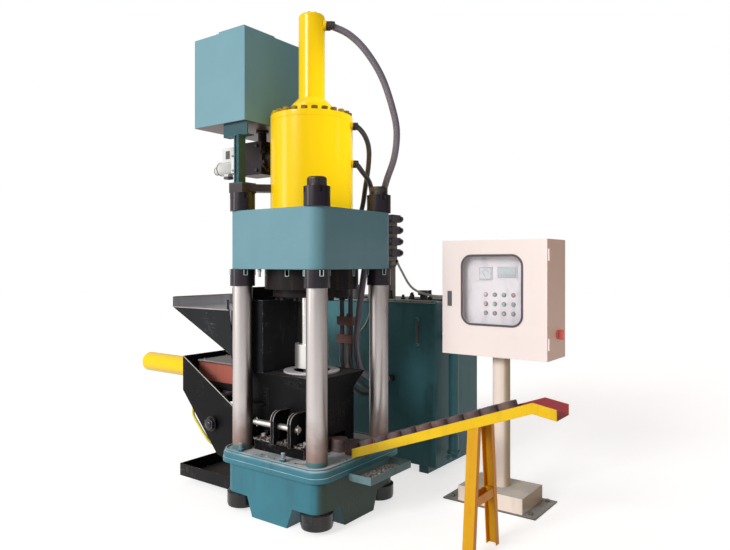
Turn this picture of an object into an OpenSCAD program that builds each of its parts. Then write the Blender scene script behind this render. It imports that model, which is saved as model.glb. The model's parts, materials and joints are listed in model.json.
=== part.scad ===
// Vertical briquetting press: four-column hydraulic press with a hopper feed, an ejector,
// an oil power unit, a control cabinet on a post and a chute that carries the briquettes away.
// Millimetres, +Z up. The origin is on the floor under the axis of the press. +X is the way
// the briquettes leave, -Y is the operator's side.

/* [Press frame] */
// Distance between column axes, both ways
column_spacing = 640; // [580:1:770]
// Diameter of a column between the base and the beam
column_d = 130; // [105:1:150]
// Height of the top of the base casting
base_h = 392; // [340:1:480]
// Height of the underside of the top beam
beam_z = 1560; // [1500:1:1900]
// Height of the top beam itself
beam_h = 376; // [310:1:460]
// How far the beam and base body stand out past the column axes
overhang = 70; // [68:1:95]

/* [Main cylinder] */
// Outside diameter of the main cylinder
cylinder_d = 545; // [500:1:600]
// Bore of the main cylinder
bore_d = 400; // [330:1:440]
// Height of the main cylinder above the beam
cylinder_h = 589; // [480:1:710]
// Outside diameter of the fast-approach cylinder
fast_d = 174; // [150:1:200]
// Height of the fast-approach cylinder above its flange
fast_h = 680; // [600:1:820]
// Diameter of the pressing plunger
plunger_d = 175; // [140:1:210]

/* [Die and ejector] */
// Diameter of the punch and of the briquettes
punch_d = 110; // [90:1:132]
// Width of the die housing
housing_w = 400; // [370:1:420]
// Height of a briquette
briquette_h = 82; // [68:1:98]
// Height of the passage that the briquettes leave by
passage_h = 100; // [90:1:120]

/* [Feed] */
// Inside width of the feed trough
trough_w = 202; // [170:1:240]
// Inside height of the feed trough
trough_h = 180; // [150:1:200]
// Stroke of the feed pusher
feed_stroke = 430; // [360:1:440]
// Width of the hopper across its mouth
hopper_w = 560; // [470:1:620]
// Length of the sloping part of the hopper
hopper_len = 600; // [500:1:720]

/* [Chute] */
// Outside width of the chute
chute_w = 180; // [150:1:200]
// Height of the chute's side rails
rail_h = 58; // [48:1:70]
// Slope of the chute in degrees
chute_slope = 20.4; // [17:0.1:24]
// Horizontal run of the sloping part of the chute
chute_run = 1165; // [980:1:1400]

/* [Prefill tank] */
// Length of the prefill tank across the press
prefill_x = 500; // [420:1:600]
// Width of the prefill tank front to back
prefill_y = 680; // [660:1:800]
// Height of the prefill tank
prefill_h = 610; // [500:1:730]

/* [Power unit] */
// Length of the oil tank
oil_x = 1290; // [1080:1:1540]
// Width of the oil tank
oil_y = 680; // [570:1:810]
// Height of the oil tank with its feet
oil_h = 1300; // [1090:1:1550]

/* [Control cabinet] */
// Width of the cabinet
cabinet_x = 740; // [620:1:880]
// Depth of the cabinet with its door
cabinet_y = 320; // [270:1:380]
// Height of the cabinet
cabinet_h = 765; // [660:1:910]
// Height of the cabinet's underside above the floor
cabinet_z = 985; // [830:1:1180]
// Outside diameter of the pedestal post
post_d = 116; // [97:1:139]

/* [Hoses] */
// Outside diameter of the hose of the fast-approach cylinder
fast_hose_d = 46; // [40:1:52]
// Outside diameter of the two hoses of the main cylinder
hose_d = 34; // [28:1:38]
// Outside diameter of the ejector's hose
ejector_hose_d = 20; // [17:1:24]

/* [Hidden] */
$fn = 64;

// Gap of a sliding fit, on the radius
run_gap = 0.05;
// Gap between fixed round parts, on the radius
fix_gap = 0.1;
// Amount that a cut runs past the face it opens
cut = 1;

// Colours
teal = "#57a0ab";
dark_teal = "#28616a";
yellow = "#fad614";
black = "#1c1c20";
steel = "#c9c6c2";
grey = "#8d8f90";
primer = "#be5a4b";
cream = "#f1e4de";
brown = "#5a4b4b";
red = "#c0392b";

// Frame
col = column_spacing / 2;
body_half = col + overhang + 10;
rim_half = body_half + 35;
beam_half = col + overhang;
beam_top = beam_z + beam_h;
corner_h = 121;
rim_h = 80;
rim_r = 100;
corner_r = 80;
foot_half = 150;
stud_d = 25;
stud_h = 53;
foot_slope = 45;
neck_d = column_d - 12;
lower_neck_d = column_d - 20;
nut_d = column_d + 32;
lower_nut_h = 99;
upper_nut_h = 120;
collar_h = 110;
column_top = beam_top + upper_nut_h + 56;

// Main cylinder
cylinder_top = beam_top + cylinder_h;
spigot_d = cylinder_d - 85;
spigot_z = beam_z - 130;
ring_nut_d = cylinder_d + 75;
gland_d = ring_nut_d - 110;
gland_h = 50;
gland_z = spigot_z - gland_h;
cylinder_floor = spigot_z + 70;
cap_h = 40;
cap_top = cylinder_top + cap_h;
boss_d = fast_d + 94;
boss_h = 76;
cone_h = 48;
fast_top = cap_top + fast_h;
fast_bore = fast_d - 42;
fast_rod_d = 60;
cover_bolt_count = 24;
cover_bolt_pcd = (cylinder_d + bore_d) / 2 + 24;
gland_bolt_count = 12;
gland_bolt_pcd = gland_d - 70;

// Plunger, at the height where it waits
piston_z = (cylinder_floor + beam_top) / 2 + 90;
piston_h = 120;
fast_piston_h = 80;
plunger_up = 180;
fast_piston_z = fast_top - 35 - plunger_up - fast_piston_h;
holder_z = 910;
holder_h = 157;
holder_d = punch_d * 2 + 3;

// Die housing
trough_floor = 700;
trough_top = trough_floor + trough_h;
passage_top = base_h + passage_h;
chamber_r = holder_d / 2 + 8.5;
ring_h = 12;
ring_r = chamber_r + 66.5;
flare = 53;
flare_h = 110;
housing_back = -housing_w / 2 - flare;
wing_len = 150;
wing_t = 12;
wing_z = base_h + 178;
die_d = punch_d + 90;
punch_bottom = holder_z - 165;
shaft_d = 40;
shaft_z = base_h + 176;

// Feed
trough_wall = 12;
lid_t = 8;
sheet = 5;
frame_x = -1012;
plate_t = 12;
plate_y = 250;
box_x0 = housing_back - 247;
box_x1 = -ring_r - 18.5;
box_top = beam_z - 205;
box_half = 250;
hopper_top = box_top - 3;
hopper_upstand = 72;
hopper_bottom = trough_top + 66;
feed_z = trough_floor + trough_h / 2;
feed_barrel_d = 150;
feed_rod_d = 60;
feed_barrel_len = feed_stroke + 334;
tip_x = -feed_stroke - chamber_r * 0.56;
pusher_len = feed_stroke + 10;

// Ejector
eject_z = base_h + 90;
slide_front = punch_d / 2 + 15;
slide_back = housing_back - 47;
slide_half = 100;
passage_half = slide_half + 3;
trunnion_x = -690;
eject_barrel_d = 110;
eject_rod_d = 50;
crosshead_h = 150;
eject_x0 = -960;
eject_x1 = -560;

// Chute
drip_tray_w = 167;
chute_x0 = rim_half - 31;
chute_x1 = chute_x0 + chute_run;
chute_z0 = base_h + 0.3;
chute_rise = chute_run * tan(chute_slope);
chute_z1 = chute_z0 + chute_rise;
chute_x2 = chute_x1 + 128;
chute_z2 = chute_z1 - 20;
chute_t = 5;
stand_x = chute_x0 + chute_run * 0.687;
stand_w = 65;
foot_spread = 147;
foot_lean = 5.4;
stand_h = chute_z0 + (stand_x - chute_x0) * tan(chute_slope);

// Prefill tank and its valve
prefill_z = column_top + 418;
prefill_x1 = -cylinder_d / 2 - 8;
prefill_x0 = prefill_x1 - prefill_x;
support_plate_h = 56;
cap_plate_t = 10;
cross_bar_h = 90;
bar_wall = 8;
bar_x0 = -col - 190;
bar_x1 = prefill_x1 - 0.5;
bar_y0 = -col + 10;
bar_y1 = -prefill_y / 2 + 84;
strut_x = 45;
strut_y0 = -36;
strut_y1 = 26;
strut_groove = 9;
support_z = beam_top + upper_nut_h;
valve_z = prefill_z - 200;
valve_x0 = prefill_x1 - 322;
valve_x1 = prefill_x1 - 110;
suction_x = prefill_x1 - 182;

// Power unit
oil_x1 = 390;
oil_x0 = oil_x1 - oil_x;
oil_y0 = 960;
oil_y1 = oil_y0 + oil_y;
oil_feet = 60;
manifold_x = -300;
manifold_y = oil_y0 + 60;
manifold_z = oil_h + 300;
motor_z = 420;
motor_y = (oil_y0 + oil_y1) / 2;
pump_x = oil_x0 - 250;
cooler_x = oil_x1 + 80;
cooler_y = oil_y0 + 130;
cooler_d = 76;

// Cabinet
cab_x0 = 635;
cab_x1 = cab_x0 + cabinet_x;
cab_y0 = 630;
cab_y1 = cab_y0 + cabinet_y;
cab_z1 = cabinet_z + cabinet_h;
door_t = 22;
door_gap = 0.5;
hinge_x = cab_x1 + 6.5;
hinge_y = cab_y0 + door_t / 2;
hinge_d = 12;
hinge_pin_d = 6;
hinge_len = 38;
hinge_zs = [cabinet_z + cabinet_h * 0.14, cabinet_z + cabinet_h * 0.87];
cab_sheet = 2;
window_x = cab_x0 + cabinet_x * 0.49;
window_z = cabinet_z + cabinet_h * 0.57;
window_w = cabinet_x * 0.555;
window_h = cabinet_h * 0.575;
lock_z = cabinet_z + cabinet_h * 0.49;
window_r = 62;
panel_y = cab_y0 + 62;
button_x0 = cab_x0 + cabinet_x * 0.4;
button_dx = cabinet_x * 0.088;
button_z = cabinet_z + cabinet_h * 0.449;
button_dz = cabinet_h * 0.08;
button_d = 22;
lock_d = 20;
lock_x = cab_x0 + 58;
isolator_y = cab_y0 + cabinet_y * 0.56;
isolator_z = cabinet_z + cabinet_h * 0.205;
isolator_shaft_d = 12;
post_x = (cab_x0 + cab_x1) / 2 - 8;
post_y = (cab_y0 + cab_y1) / 2;
pedestal_box_h = 112;

// ---- helpers -------------------------------------------------------------------------------

// A rectangle about the origin with true arcs at its corners
module round_rect(w, d, r) {
    square([w - 2 * r, d], center = true);
    square([w, d - 2 * r], center = true);
    for (sx = [-1, 1], sy = [-1, 1])
        translate([sx * (w / 2 - r), sy * (d / 2 - r)]) circle(r = r);
}

// A block given by its two opposite corners
module block(a, b) {
    translate(a) cube(b - a);
}

// A bar along X from x0 to x1
module bar_x(x0, x1, d, y, z) {
    translate([x0, y, z]) rotate([0, 90, 0]) cylinder(d = d, h = x1 - x0);
}

// A bar along Y from y0 to y1
module bar_y(y0, y1, d, x, z) {
    translate([x, y0, z]) rotate([-90, 0, 0]) cylinder(d = d, h = y1 - y0);
}

// A standing bar from z0 to z1
module bar_z(z0, z1, d, x = 0, y = 0) {
    translate([x, y, z0]) cylinder(d = d, h = z1 - z0);
}

// A hexagon bar across-flats s, standing
module hex(s, h) {
    rotate(30) cylinder(d = s / cos(30), h = h, $fn = 6);
}

// A plate drawn in X and Z, with its thickness along Y from y0 to y1
module plate_xz(points, y0, y1) {
    translate([0, y1, 0]) rotate([90, 0, 0]) linear_extrude(height = y1 - y0) polygon(points);
}

// A plate drawn in Y and Z, with its thickness along X from x0 to x1
module plate_yz(points, x0, x1) {
    translate([x0, 0, 0]) rotate([90, 0, 90]) linear_extrude(height = x1 - x0) polygon(points);
}

// The places of the four columns
module at_columns() {
    for (sx = [-1, 1], sy = [-1, 1]) translate([sx * col, sy * col, 0]) children();
}

// A wedge hopper: a level rectangle on top that narrows to one level edge at its x1 end
module wedge(x0, x1, top_half, low_half, z_top, z_low) {
    polyhedron(
        points = [
            [x0, -top_half, z_top], [x1, -top_half, z_top], [x1, top_half, z_top],
            [x0, top_half, z_top], [x1, -low_half, z_low], [x1, low_half, z_low]
        ],
        faces = [[3, 2, 1, 0], [0, 1, 4], [1, 2, 5, 4], [2, 3, 5], [0, 4, 5, 3]]
    );
}

// Points of a smooth curve through the given points, with n steps on each stretch
function spline_point(a, b, c, d, t) =
    0.5 * ((2 * b) + (c - a) * t + (2 * a - 5 * b + 4 * c - d) * t * t
        + (3 * b - a - 3 * c + d) * t * t * t);
function spline(p, n) = concat(
    [for (i = [0 : len(p) - 2], k = [0 : n - 1])
        spline_point(p[max(i - 1, 0)], p[i], p[i + 1], p[min(i + 2, len(p) - 1)], k / n)],
    [p[len(p) - 1]]
);
function unit(v) = v / norm(v);
function tangent(p, i) = unit(p[min(i + 1, len(p) - 1)] - p[max(i - 1, 0)]);

// A hose or cable swept along the points, as one closed tube with the given number of sides
module swept(points, d, sides, side_dir) {
    n = len(points);
    ring = [for (i = [0 : n - 1])
        let (t = tangent(points, i), u = unit(cross(t, side_dir)), v = cross(t, u))
        for (k = [0 : sides - 1])
            points[i] + d / 2 * (cos(360 * k / sides) * u + sin(360 * k / sides) * v)];
    walls = [for (i = [0 : n - 2], k = [0 : sides - 1])
        let (m = (k + 1) % sides, a = i * sides, b = a + sides)
        each [[a + k, b + k, b + m], [a + k, b + m, a + m]]];
    first = [for (k = [0 : sides - 1]) k];
    last = [for (k = [sides - 1 : -1 : 0]) (n - 1) * sides + k];
    polyhedron(points = ring, faces = concat(walls, [first], [last]));
}

// ---- press frame ---------------------------------------------------------------------------

// Slanted foot of the base casting, running along Y
module base_foot() {
    plate_xz([
        [-foot_half, 0], [foot_half, 0], [foot_half + foot_slope, corner_h],
        [-foot_half - foot_slope, corner_h]
    ], -body_half, body_half);
}

// Cast base: a rim, an inset body, corners cut away for the lower nuts, and two studs on the
// operator's side
module base_casting() {
    color(teal) difference() {
        union() {
            translate([0, 0, base_h - rim_h]) linear_extrude(height = rim_h)
                round_rect(2 * rim_half, 2 * rim_half, rim_r);
            translate([0, 0, corner_h]) linear_extrude(height = base_h - rim_h - corner_h)
                round_rect(2 * body_half, 2 * body_half, corner_r);
            base_foot();
            rotate(90) base_foot();
            for (x = [-264, 108]) bar_z(base_h, base_h + stud_h, stud_d, x, -body_half + 12);
        }
        at_columns() bar_z(-cut, base_h + cut, lower_neck_d + 2 * fix_gap);
    }
}

// Chromed columns with a turned neck at each end
module columns() {
    color(steel) at_columns() {
        bar_z(corner_h - lower_nut_h, base_h, lower_neck_d);
        bar_z(base_h, beam_z, column_d);
        bar_z(beam_z, column_top - 8, neck_d);
        translate([0, 0, column_top - 8]) cylinder(d1 = neck_d, d2 = neck_d - 14, h = 8);
    }
}

// Round nut with four spanner slots cut down from its top
module round_nut(z0, h, bore) {
    difference() {
        bar_z(z0, z0 + h, nut_d);
        bar_z(z0 - cut, z0 + h + cut, bore + 2 * fix_gap);
        for (k = [0 : 3]) rotate(61 + 90 * k)
            block([nut_d / 2 - 9, -11, z0 + h - 38], [nut_d / 2 + cut, 11, z0 + h + cut]);
    }
}

// Nuts above and below the base and beam, three on each column
module column_nuts() {
    color(black) at_columns() {
        round_nut(corner_h - lower_nut_h, lower_nut_h, lower_neck_d);
        round_nut(beam_z - collar_h, collar_h, column_d);
        round_nut(beam_top, upper_nut_h, neck_d);
    }
}

// Top beam: a solid block with rounded corners, bored for the cylinder and the columns
module top_beam() {
    color(teal) translate([0, 0, beam_z]) difference() {
        linear_extrude(height = beam_h) round_rect(2 * beam_half, 2 * beam_half, corner_r);
        bar_z(-cut, beam_h + cut, spigot_d + 2 * fix_gap);
        at_columns() bar_z(-cut, beam_h + cut, neck_d + 2 * fix_gap);
    }
}

// ---- main cylinder -------------------------------------------------------------------------

// Main cylinder: a barrel that stands on the beam and a spigot that passes through it
module main_cylinder() {
    color(yellow) difference() {
        union() {
            bar_z(spigot_z, beam_top, spigot_d);
            bar_z(beam_top, cylinder_top, cylinder_d);
        }
        bar_z(cylinder_floor, cylinder_top + cut, bore_d);
        bar_z(spigot_z - cut, cylinder_floor + cut, plunger_d + 16);
    }
}

// Large nut that draws the cylinder down on to the beam
module cylinder_ring_nut() {
    color(black) difference() {
        bar_z(spigot_z, beam_z, ring_nut_d);
        bar_z(spigot_z - cut, beam_z + cut, spigot_d + 2 * fix_gap);
        for (k = [0 : 7]) rotate(11.5 + 45 * k)
            block([ring_nut_d / 2 - 16, -13, beam_z - 44], [ring_nut_d / 2 + cut, 13, beam_z + cut]);
    }
}

// Gland flange that closes the cylinder round the plunger
module gland_flange() {
    color(black) difference() {
        bar_z(gland_z, spigot_z, gland_d);
        bar_z(gland_z - cut, spigot_z + cut, plunger_d + 2 * run_gap);
    }
}

// Hexagon bolts under the gland flange
module gland_bolts() {
    color(black) for (k = [0 : gland_bolt_count - 1]) rotate(15 + 360 * k / gland_bolt_count)
        translate([gland_bolt_pcd / 2, 0, gland_z - 22]) hex(36, 22);
}

// Hexagon bolts round the cover of the main cylinder, painted with it
module cover_bolts() {
    color(yellow) for (k = [0 : cover_bolt_count - 1]) rotate(360 * k / cover_bolt_count)
        translate([cover_bolt_pcd / 2, 0, cap_top]) hex(36, 24);
}

// Fast-approach cylinder with its cover flange, boss, cone and closed top
module fast_cylinder() {
    color(yellow) difference() {
        union() {
            bar_z(cylinder_top, cap_top, cylinder_d);
            bar_z(cap_top, cap_top + boss_h, boss_d);
            translate([0, 0, cap_top + boss_h]) cylinder(d1 = boss_d, d2 = fast_d, h = cone_h);
            bar_z(cap_top + boss_h + cone_h, fast_top, fast_d);
        }
        bar_z(cylinder_top - cut, cap_top + 30, fast_rod_d + 2 * run_gap);
        bar_z(cap_top + 30, fast_top - 30, fast_bore);
    }
}

// Plunger in one piece with both pistons
module main_plunger() {
    color(steel) {
        bar_z(holder_z + holder_h, piston_z, plunger_d);
        bar_z(piston_z, piston_z + piston_h, bore_d - 2 * run_gap);
        bar_z(piston_z + piston_h, fast_piston_z, fast_rod_d);
        bar_z(fast_piston_z, fast_piston_z + fast_piston_h, fast_bore - 2 * run_gap);
    }
}

// Punch with its holder, under the plunger
module punch() {
    color(steel) {
        bar_z(holder_z, holder_z + holder_h, holder_d);
        bar_z(punch_bottom, holder_z, punch_d);
    }
}

// ---- die -----------------------------------------------------------------------------------

// Bright ring on top of the die housing
module guide_ring() {
    color(steel) difference() {
        bar_z(trough_top, trough_top + ring_h, 2 * ring_r);
        bar_z(trough_top - cut, trough_top + ring_h + cut, 2 * chamber_r);
    }
}

// Die housing: a block whose top flares out on three sides, with the chamber, the seat of the
// die sleeve, the mouth of the feed trough and the passage for the briquettes
module die_housing() {
    h = housing_w / 2;
    color(black) {
        housing_wing();
        mirror([0, 1, 0]) housing_wing();
    }
    color(black) difference() {
        intersection() {
            plate_xz([
                [housing_back, base_h], [h, base_h], [h, trough_top - flare_h],
                [h + flare, trough_top], [housing_back, trough_top]
            ], -h - flare, h + flare);
            plate_yz([
                [-h, base_h], [h, base_h], [h, trough_top - flare_h], [h + flare, trough_top],
                [-h - flare, trough_top], [-h, trough_top - flare_h]
            ], housing_back, h + flare);
        }
        bar_z(trough_floor, trough_top + cut, 2 * chamber_r);
        bar_z(passage_top - cut, trough_floor + cut, die_d + 2 * fix_gap);
        block([housing_back - cut, -trough_w / 2, trough_floor], [0, trough_w / 2, trough_top - 10]);
        block([housing_back - cut, -passage_half, base_h - cut], [h + flare, passage_half, passage_top]);
    }
}

// Side plate that carries the line of the housing's front on past the feed trough
module housing_wing() {
    y = -housing_w / 2;
    plate_yz([
        [y, wing_z], [y, trough_top - flare_h], [y - flare, trough_top],
        [y - flare + wing_t, trough_top], [y + wing_t, trough_top - flare_h], [y + wing_t, wing_z]
    ], housing_back - wing_len, housing_back + cut);
    block([housing_back - wing_len, y - 30, wing_z + 92], [housing_back + 20, y + cut, wing_z + 100]);
}

// Hardened sleeve in which a briquette is pressed
module die_sleeve() {
    color(steel) difference() {
        bar_z(passage_top, trough_floor, die_d);
        bar_z(passage_top - cut, trough_floor + cut, punch_d + 0.6);
    }
}

// Side view of one lug of the clamp block: upright with a rounded top
module clamp_lug(x) {
    front = -housing_w / 2;
    difference() {
        union() {
            block([x - 13, front - 145, base_h + 70], [x + 13, front, base_h + 215]);
            bar_x(x - 13, x + 13, 120, front - 85, base_h + 215);
            block([x - 13, front - 85, base_h + 215], [x + 13, front, base_h + 275]);
        }
        bar_x(x - 14, x + 14, shaft_d + 2 * fix_gap, front - 88, shaft_z);
    }
}

// Block that clamps the die housing to the base, with two lugs
module clamp_block() {
    front = -housing_w / 2;
    color(black) {
        difference() {
            union() {
                block([-230, front - 100, base_h], [200, front, base_h + 66]);
                block([-230, front - 112, base_h + 66], [200, front, base_h + 80]);
                clamp_lug(-30);
                clamp_lug(115);
            }
            for (x = [-190, 40, 175]) bar_z(base_h - cut, base_h + 81, 22, x, front - 55);
        }
    }
}

// Bright shaft through both lugs
module clamp_shaft() {
    color(steel) bar_x(-240, 150, shaft_d, -housing_w / 2 - 88, shaft_z);
}

// ---- feed ----------------------------------------------------------------------------------

// Hopper: a sloping bin, higher at its end and rear than at the front where it is loaded,
// welded to a tall box over the feed trough
module hopper() {
    x0 = box_x0 - hopper_len;
    half = hopper_w / 2;
    rim = hopper_top - hopper_upstand;
    low_half = box_half - 25;
    color("#3a3b3e") difference() {
        union() {
            block([x0, -half, rim], [box_x0 + 2, half, hopper_top]);
            wedge(x0, box_x0 + 2, half, low_half, rim, hopper_bottom);
            block([box_x0, -box_half, trough_top], [box_x1, box_half, box_top]);
        }
        block([x0 + sheet, -half + sheet, rim - 0.5],
            [box_x0 + sheet + cut, half - sheet, hopper_top + cut]);
        block([x0 + 2 * sheet, -half - cut, rim + 4], [box_x0 - 20, 0, hopper_top + cut]);
        wedge(x0 + 3 * sheet, box_x0 + sheet + cut, half - sheet, low_half - sheet, rim,
            hopper_bottom + sheet);
        block([box_x0 + sheet, -box_half + sheet, trough_top + lid_t],
            [box_x1 - sheet, box_half - sheet, box_top + cut]);
        block([box_x0 + 12, -trough_w / 2, trough_top - cut],
            [housing_back - 12, trough_w / 2, trough_top + lid_t + cut]);
    }
}

// Outline of a side plate of the feed frame
function side_plate() = [
    [frame_x - plate_t, trough_top + 45], [frame_x - plate_t, trough_floor - 23],
    [-653, base_h - 120], [-rim_half, base_h - 162], [-rim_half, base_h],
    [housing_back - 2, base_h], [housing_back - 2, base_h + 100]
];

// Welded frame of the feed: two side plates, an end plate and two cross bars
module feed_frame() {
    inner = plate_y - plate_t;
    bar_top = trough_floor - trough_wall;
    color(black) difference() {
        union() {
            plate_xz(side_plate(), -plate_y, -inner);
            plate_xz(side_plate(), inner, plate_y);
            block([frame_x - plate_t, -inner, trough_floor - 23], [frame_x, inner, trough_top + 45]);
            for (x = [-800, -620])
                block([x, -inner, bar_top - 50], [x + 50, inner, bar_top]);
        }
        bar_x(frame_x - plate_t - cut, frame_x + cut, feed_rod_d + 4, 0, feed_z);
        bar_y(-plate_y - cut, plate_y + cut, 50 + 2 * fix_gap, trunnion_x, eject_z);
    }
}

// Open trough that the pusher slides in
module feed_trough() {
    half = trough_w / 2;
    color(primer) difference() {
        block([frame_x, -half - trough_wall, trough_floor - trough_wall],
            [housing_back, half + trough_wall, trough_top]);
        block([frame_x - cut, -half, trough_floor], [housing_back + cut, half, trough_top + cut]);
    }
}

// Cover plate of the trough, screwed down behind the hopper
module trough_lid() {
    half = trough_w / 2 + 40;
    color(grey) difference() {
        block([frame_x + 25, -half, trough_top], [box_x0, half, trough_top + lid_t]);
        for (x = [frame_x + 60, box_x0 - 40], s = [-1, 1])
            bar_z(trough_top - cut, trough_top + lid_t + cut, 10, x, s * (trough_w / 2 + 6));
    }
}

// Feed pusher: a hollow block with a hollow front that closes the chamber, and its rod
module feed_pusher() {
    half = trough_w / 2 - 1;
    back_x = tip_x - pusher_len;
    color(grey) {
        difference() {
            block([back_x, -half, trough_floor + 0.3], [tip_x + 5, half, trough_top - 12]);
            bar_z(trough_floor - cut, trough_top, 2 * chamber_r, -feed_stroke, 0);
            block([back_x - cut, -half + 18, trough_floor + 18], [tip_x - 110, half - 18, trough_top - 30]);
        }
        bar_x(frame_x - feed_barrel_len + 65, tip_x - 105, feed_rod_d, 0, feed_z);
        translate([frame_x - feed_barrel_len, 0, 0])
            bar_x(20, 70, feed_barrel_d - 40 - 2 * run_gap, 0, feed_z);
    }
}

// Yellow cylinder that drives the feed pusher, with a rounded end and a bolted flange
module feed_cylinder() {
    r = feed_barrel_d / 2;
    end_r = 28;
    x1 = frame_x - plate_t;
    color(yellow) difference() {
        union() {
            translate([x1, 0, feed_z]) rotate([0, -90, 0]) rotate_extrude() {
                square([r - end_r, feed_barrel_len]);
                square([r, feed_barrel_len - end_r]);
                intersection() {
                    translate([r - end_r, feed_barrel_len - end_r]) circle(r = end_r);
                    square([r, feed_barrel_len]);
                }
            }
            block([x1 - 22, -100, feed_z - 80], [x1, 100, feed_z + 80]);
        }
        bar_x(x1 - feed_barrel_len + 25, x1 - 40, feed_barrel_d - 40, 0, feed_z);
        bar_x(x1 - 41, x1 + cut, feed_rod_d + 2 * run_gap, 0, feed_z);
    }
}

// Ejector slide with its crosshead and rod: anvil under the die and pusher for the briquettes
module ejector_slide() {
    head_half = slide_half - 30;
    color(grey) {
        block([slide_back, -slide_half, base_h + 0.3], [slide_front, slide_half, passage_top - 0.5]);
        block([slide_back, -head_half, base_h + 0.3], [slide_back + 40, head_half, base_h + crosshead_h]);
        bar_x(eject_x0 + 235, slide_back, eject_rod_d, 0, eject_z);
        bar_x(eject_x0 + 205, eject_x0 + 240, eject_barrel_d - 30 - 2 * run_gap, 0, eject_z);
    }
}

// Ejector cylinder, hung between the side plates on its trunnions
module ejector_cylinder() {
    color(black) difference() {
        union() {
            bar_x(eject_x0, eject_x1, eject_barrel_d, 0, eject_z);
            bar_x(trunnion_x - 40, trunnion_x + 40, eject_barrel_d + 40, 0, eject_z);
            bar_y(-plate_y - 4, plate_y + 4, 50, trunnion_x, eject_z);
            bar_y(-plate_y - 22, -plate_y, 82, trunnion_x, eject_z);
            bar_y(plate_y, plate_y + 22, 82, trunnion_x, eject_z);
            bar_z(eject_z, eject_z + eject_barrel_d / 2 + 14, 36, eject_x0 + 30, 0);
        }
        bar_x(eject_x0 + 20, eject_x1 - 30, eject_barrel_d - 30, 0, eject_z);
        bar_x(eject_x1 - 31, eject_x1 + cut, eject_rod_d + 2 * run_gap, 0, eject_z);
    }
}

// ---- trays ---------------------------------------------------------------------------------

// Black oil tray under the feed, standing on two feet and touching the base
module oil_tray() {
    z0 = 50;
    color(black) {
        difference() {
            block([-1056, -plate_y, z0], [-body_half, plate_y, z0 + 88]);
            block([-1052, -plate_y + 4, z0 + 4], [-body_half - 4, plate_y - 4, z0 + 89]);
        }
        for (s = [-1, 1])
            block([-1050, s * 90 - 25, 0], [-1000, s * 90 + 25, z0]);
    }
}

// Teal drip tray on the side of the base, under the start of the chute
module drip_tray() {
    z0 = base_h - 112;
    color(teal) difference() {
        block([rim_half, -160, z0], [rim_half + drip_tray_w, 280, z0 + 45]);
        block([rim_half + 3, -157, z0 + 3], [rim_half + drip_tray_w - 3, 277, z0 + 46]);
    }
}

// ---- chute ---------------------------------------------------------------------------------

// Outline of one side rail
function rail(h) = [
    [chute_x0, chute_z0], [chute_x1, chute_z1], [chute_x2, chute_z2],
    [chute_x2, chute_z2 + h], [chute_x1, chute_z1 + h], [chute_x0, chute_z0 + h]
];

// Chute: a channel that climbs and then dips at its far end
module chute_channel() {
    half = chute_w / 2;
    color(yellow) {
        plate_xz(rail(rail_h), -half, -half + chute_t);
        plate_xz(rail(rail_h), half - chute_t, half);
        plate_xz(rail(chute_t), -half, half);
    }
}

// One leaning leg of the stand, a channel with its back outwards, for the side s
module stand_leg(s) {
    translate([stand_x, s * foot_spread, 0]) rotate([s * foot_lean, 0, 0]) difference() {
        block([0, -18, -20], [stand_w, 18, stand_h + 120]);
        block([chute_t, -18 + (s < 0 ? chute_t : -cut), -21],
            [stand_w - chute_t, 18 - (s > 0 ? chute_t : -cut), stand_h + 121]);
    }
}

// A-shaped stand under the chute, cut level at the floor and to the slope at the top
module chute_stand() {
    bar_z0 = 285;
    bar_half = foot_spread + 15 - (bar_z0 + 25) * tan(foot_lean);
    color(yellow) difference() {
        union() {
            stand_leg(-1);
            stand_leg(1);
            block([stand_x + chute_t - 1, -bar_half, bar_z0],
                [stand_x + stand_w - chute_t + 1, bar_half, bar_z0 + 50]);
        }
        block([stand_x - 200, -400, -200], [stand_x + 300, 400, 0]);
        plate_xz([
            [chute_x0, chute_z0], [chute_x1, chute_z1], [chute_x1, chute_z1 + 900],
            [chute_x0, chute_z0 + 900]
        ], -400, 400);
        block([stand_x + 2 * chute_t, -bar_half + 32, bar_z0 + 4],
            [stand_x + stand_w - 2 * chute_t, bar_half - 32, bar_z0 + 51]);
    }
}

// Row of finished briquettes, pushed from the base up the chute
module chute_briquettes() {
    pitch = punch_d + 0.6;
    rest_x = slide_front + 1 + punch_d / 2;
    on_base = floor((chute_x0 - slide_front - 1) / pitch);
    on_slope = floor(chute_run / pitch);
    slope_x = chute_x0 + punch_d / 2 + 26;
    color(brown) {
        for (i = [0 : on_base - 1])
            bar_z(base_h + 0.2, base_h + 0.2 + briquette_h, punch_d, rest_x + i * pitch, 0);
        translate([slope_x, 0, chute_z0 + (slope_x - chute_x0) * tan(chute_slope)])
            rotate([0, -chute_slope, 0])
                for (i = [0 : on_slope - 1])
                    translate([i * pitch, 0, chute_t * cos(chute_slope) + 0.1])
                        cylinder(d = punch_d, h = briquette_h);
    }
}

// ---- prefill tank --------------------------------------------------------------------------

// Sheet-metal tank with a raised hatch bolted on its top
module prefill_tank() {
    half = prefill_y / 2;
    color(teal) difference() {
        union() {
            block([prefill_x0, -half, prefill_z], [prefill_x1, half, prefill_z + prefill_h]);
            block([prefill_x1 - 300, -half + 40, prefill_z + prefill_h],
                [prefill_x1 - 50, -half + 330, prefill_z + prefill_h + 32]);
            block([prefill_x1 - 312, -half + 28, prefill_z + prefill_h],
                [prefill_x1 - 38, -half + 342, prefill_z + prefill_h + 10]);
        }
        block([prefill_x0 + sheet, -half + sheet, prefill_z + sheet],
            [prefill_x1 - sheet, half - sheet, prefill_z + prefill_h - sheet]);
    }
}

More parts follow.
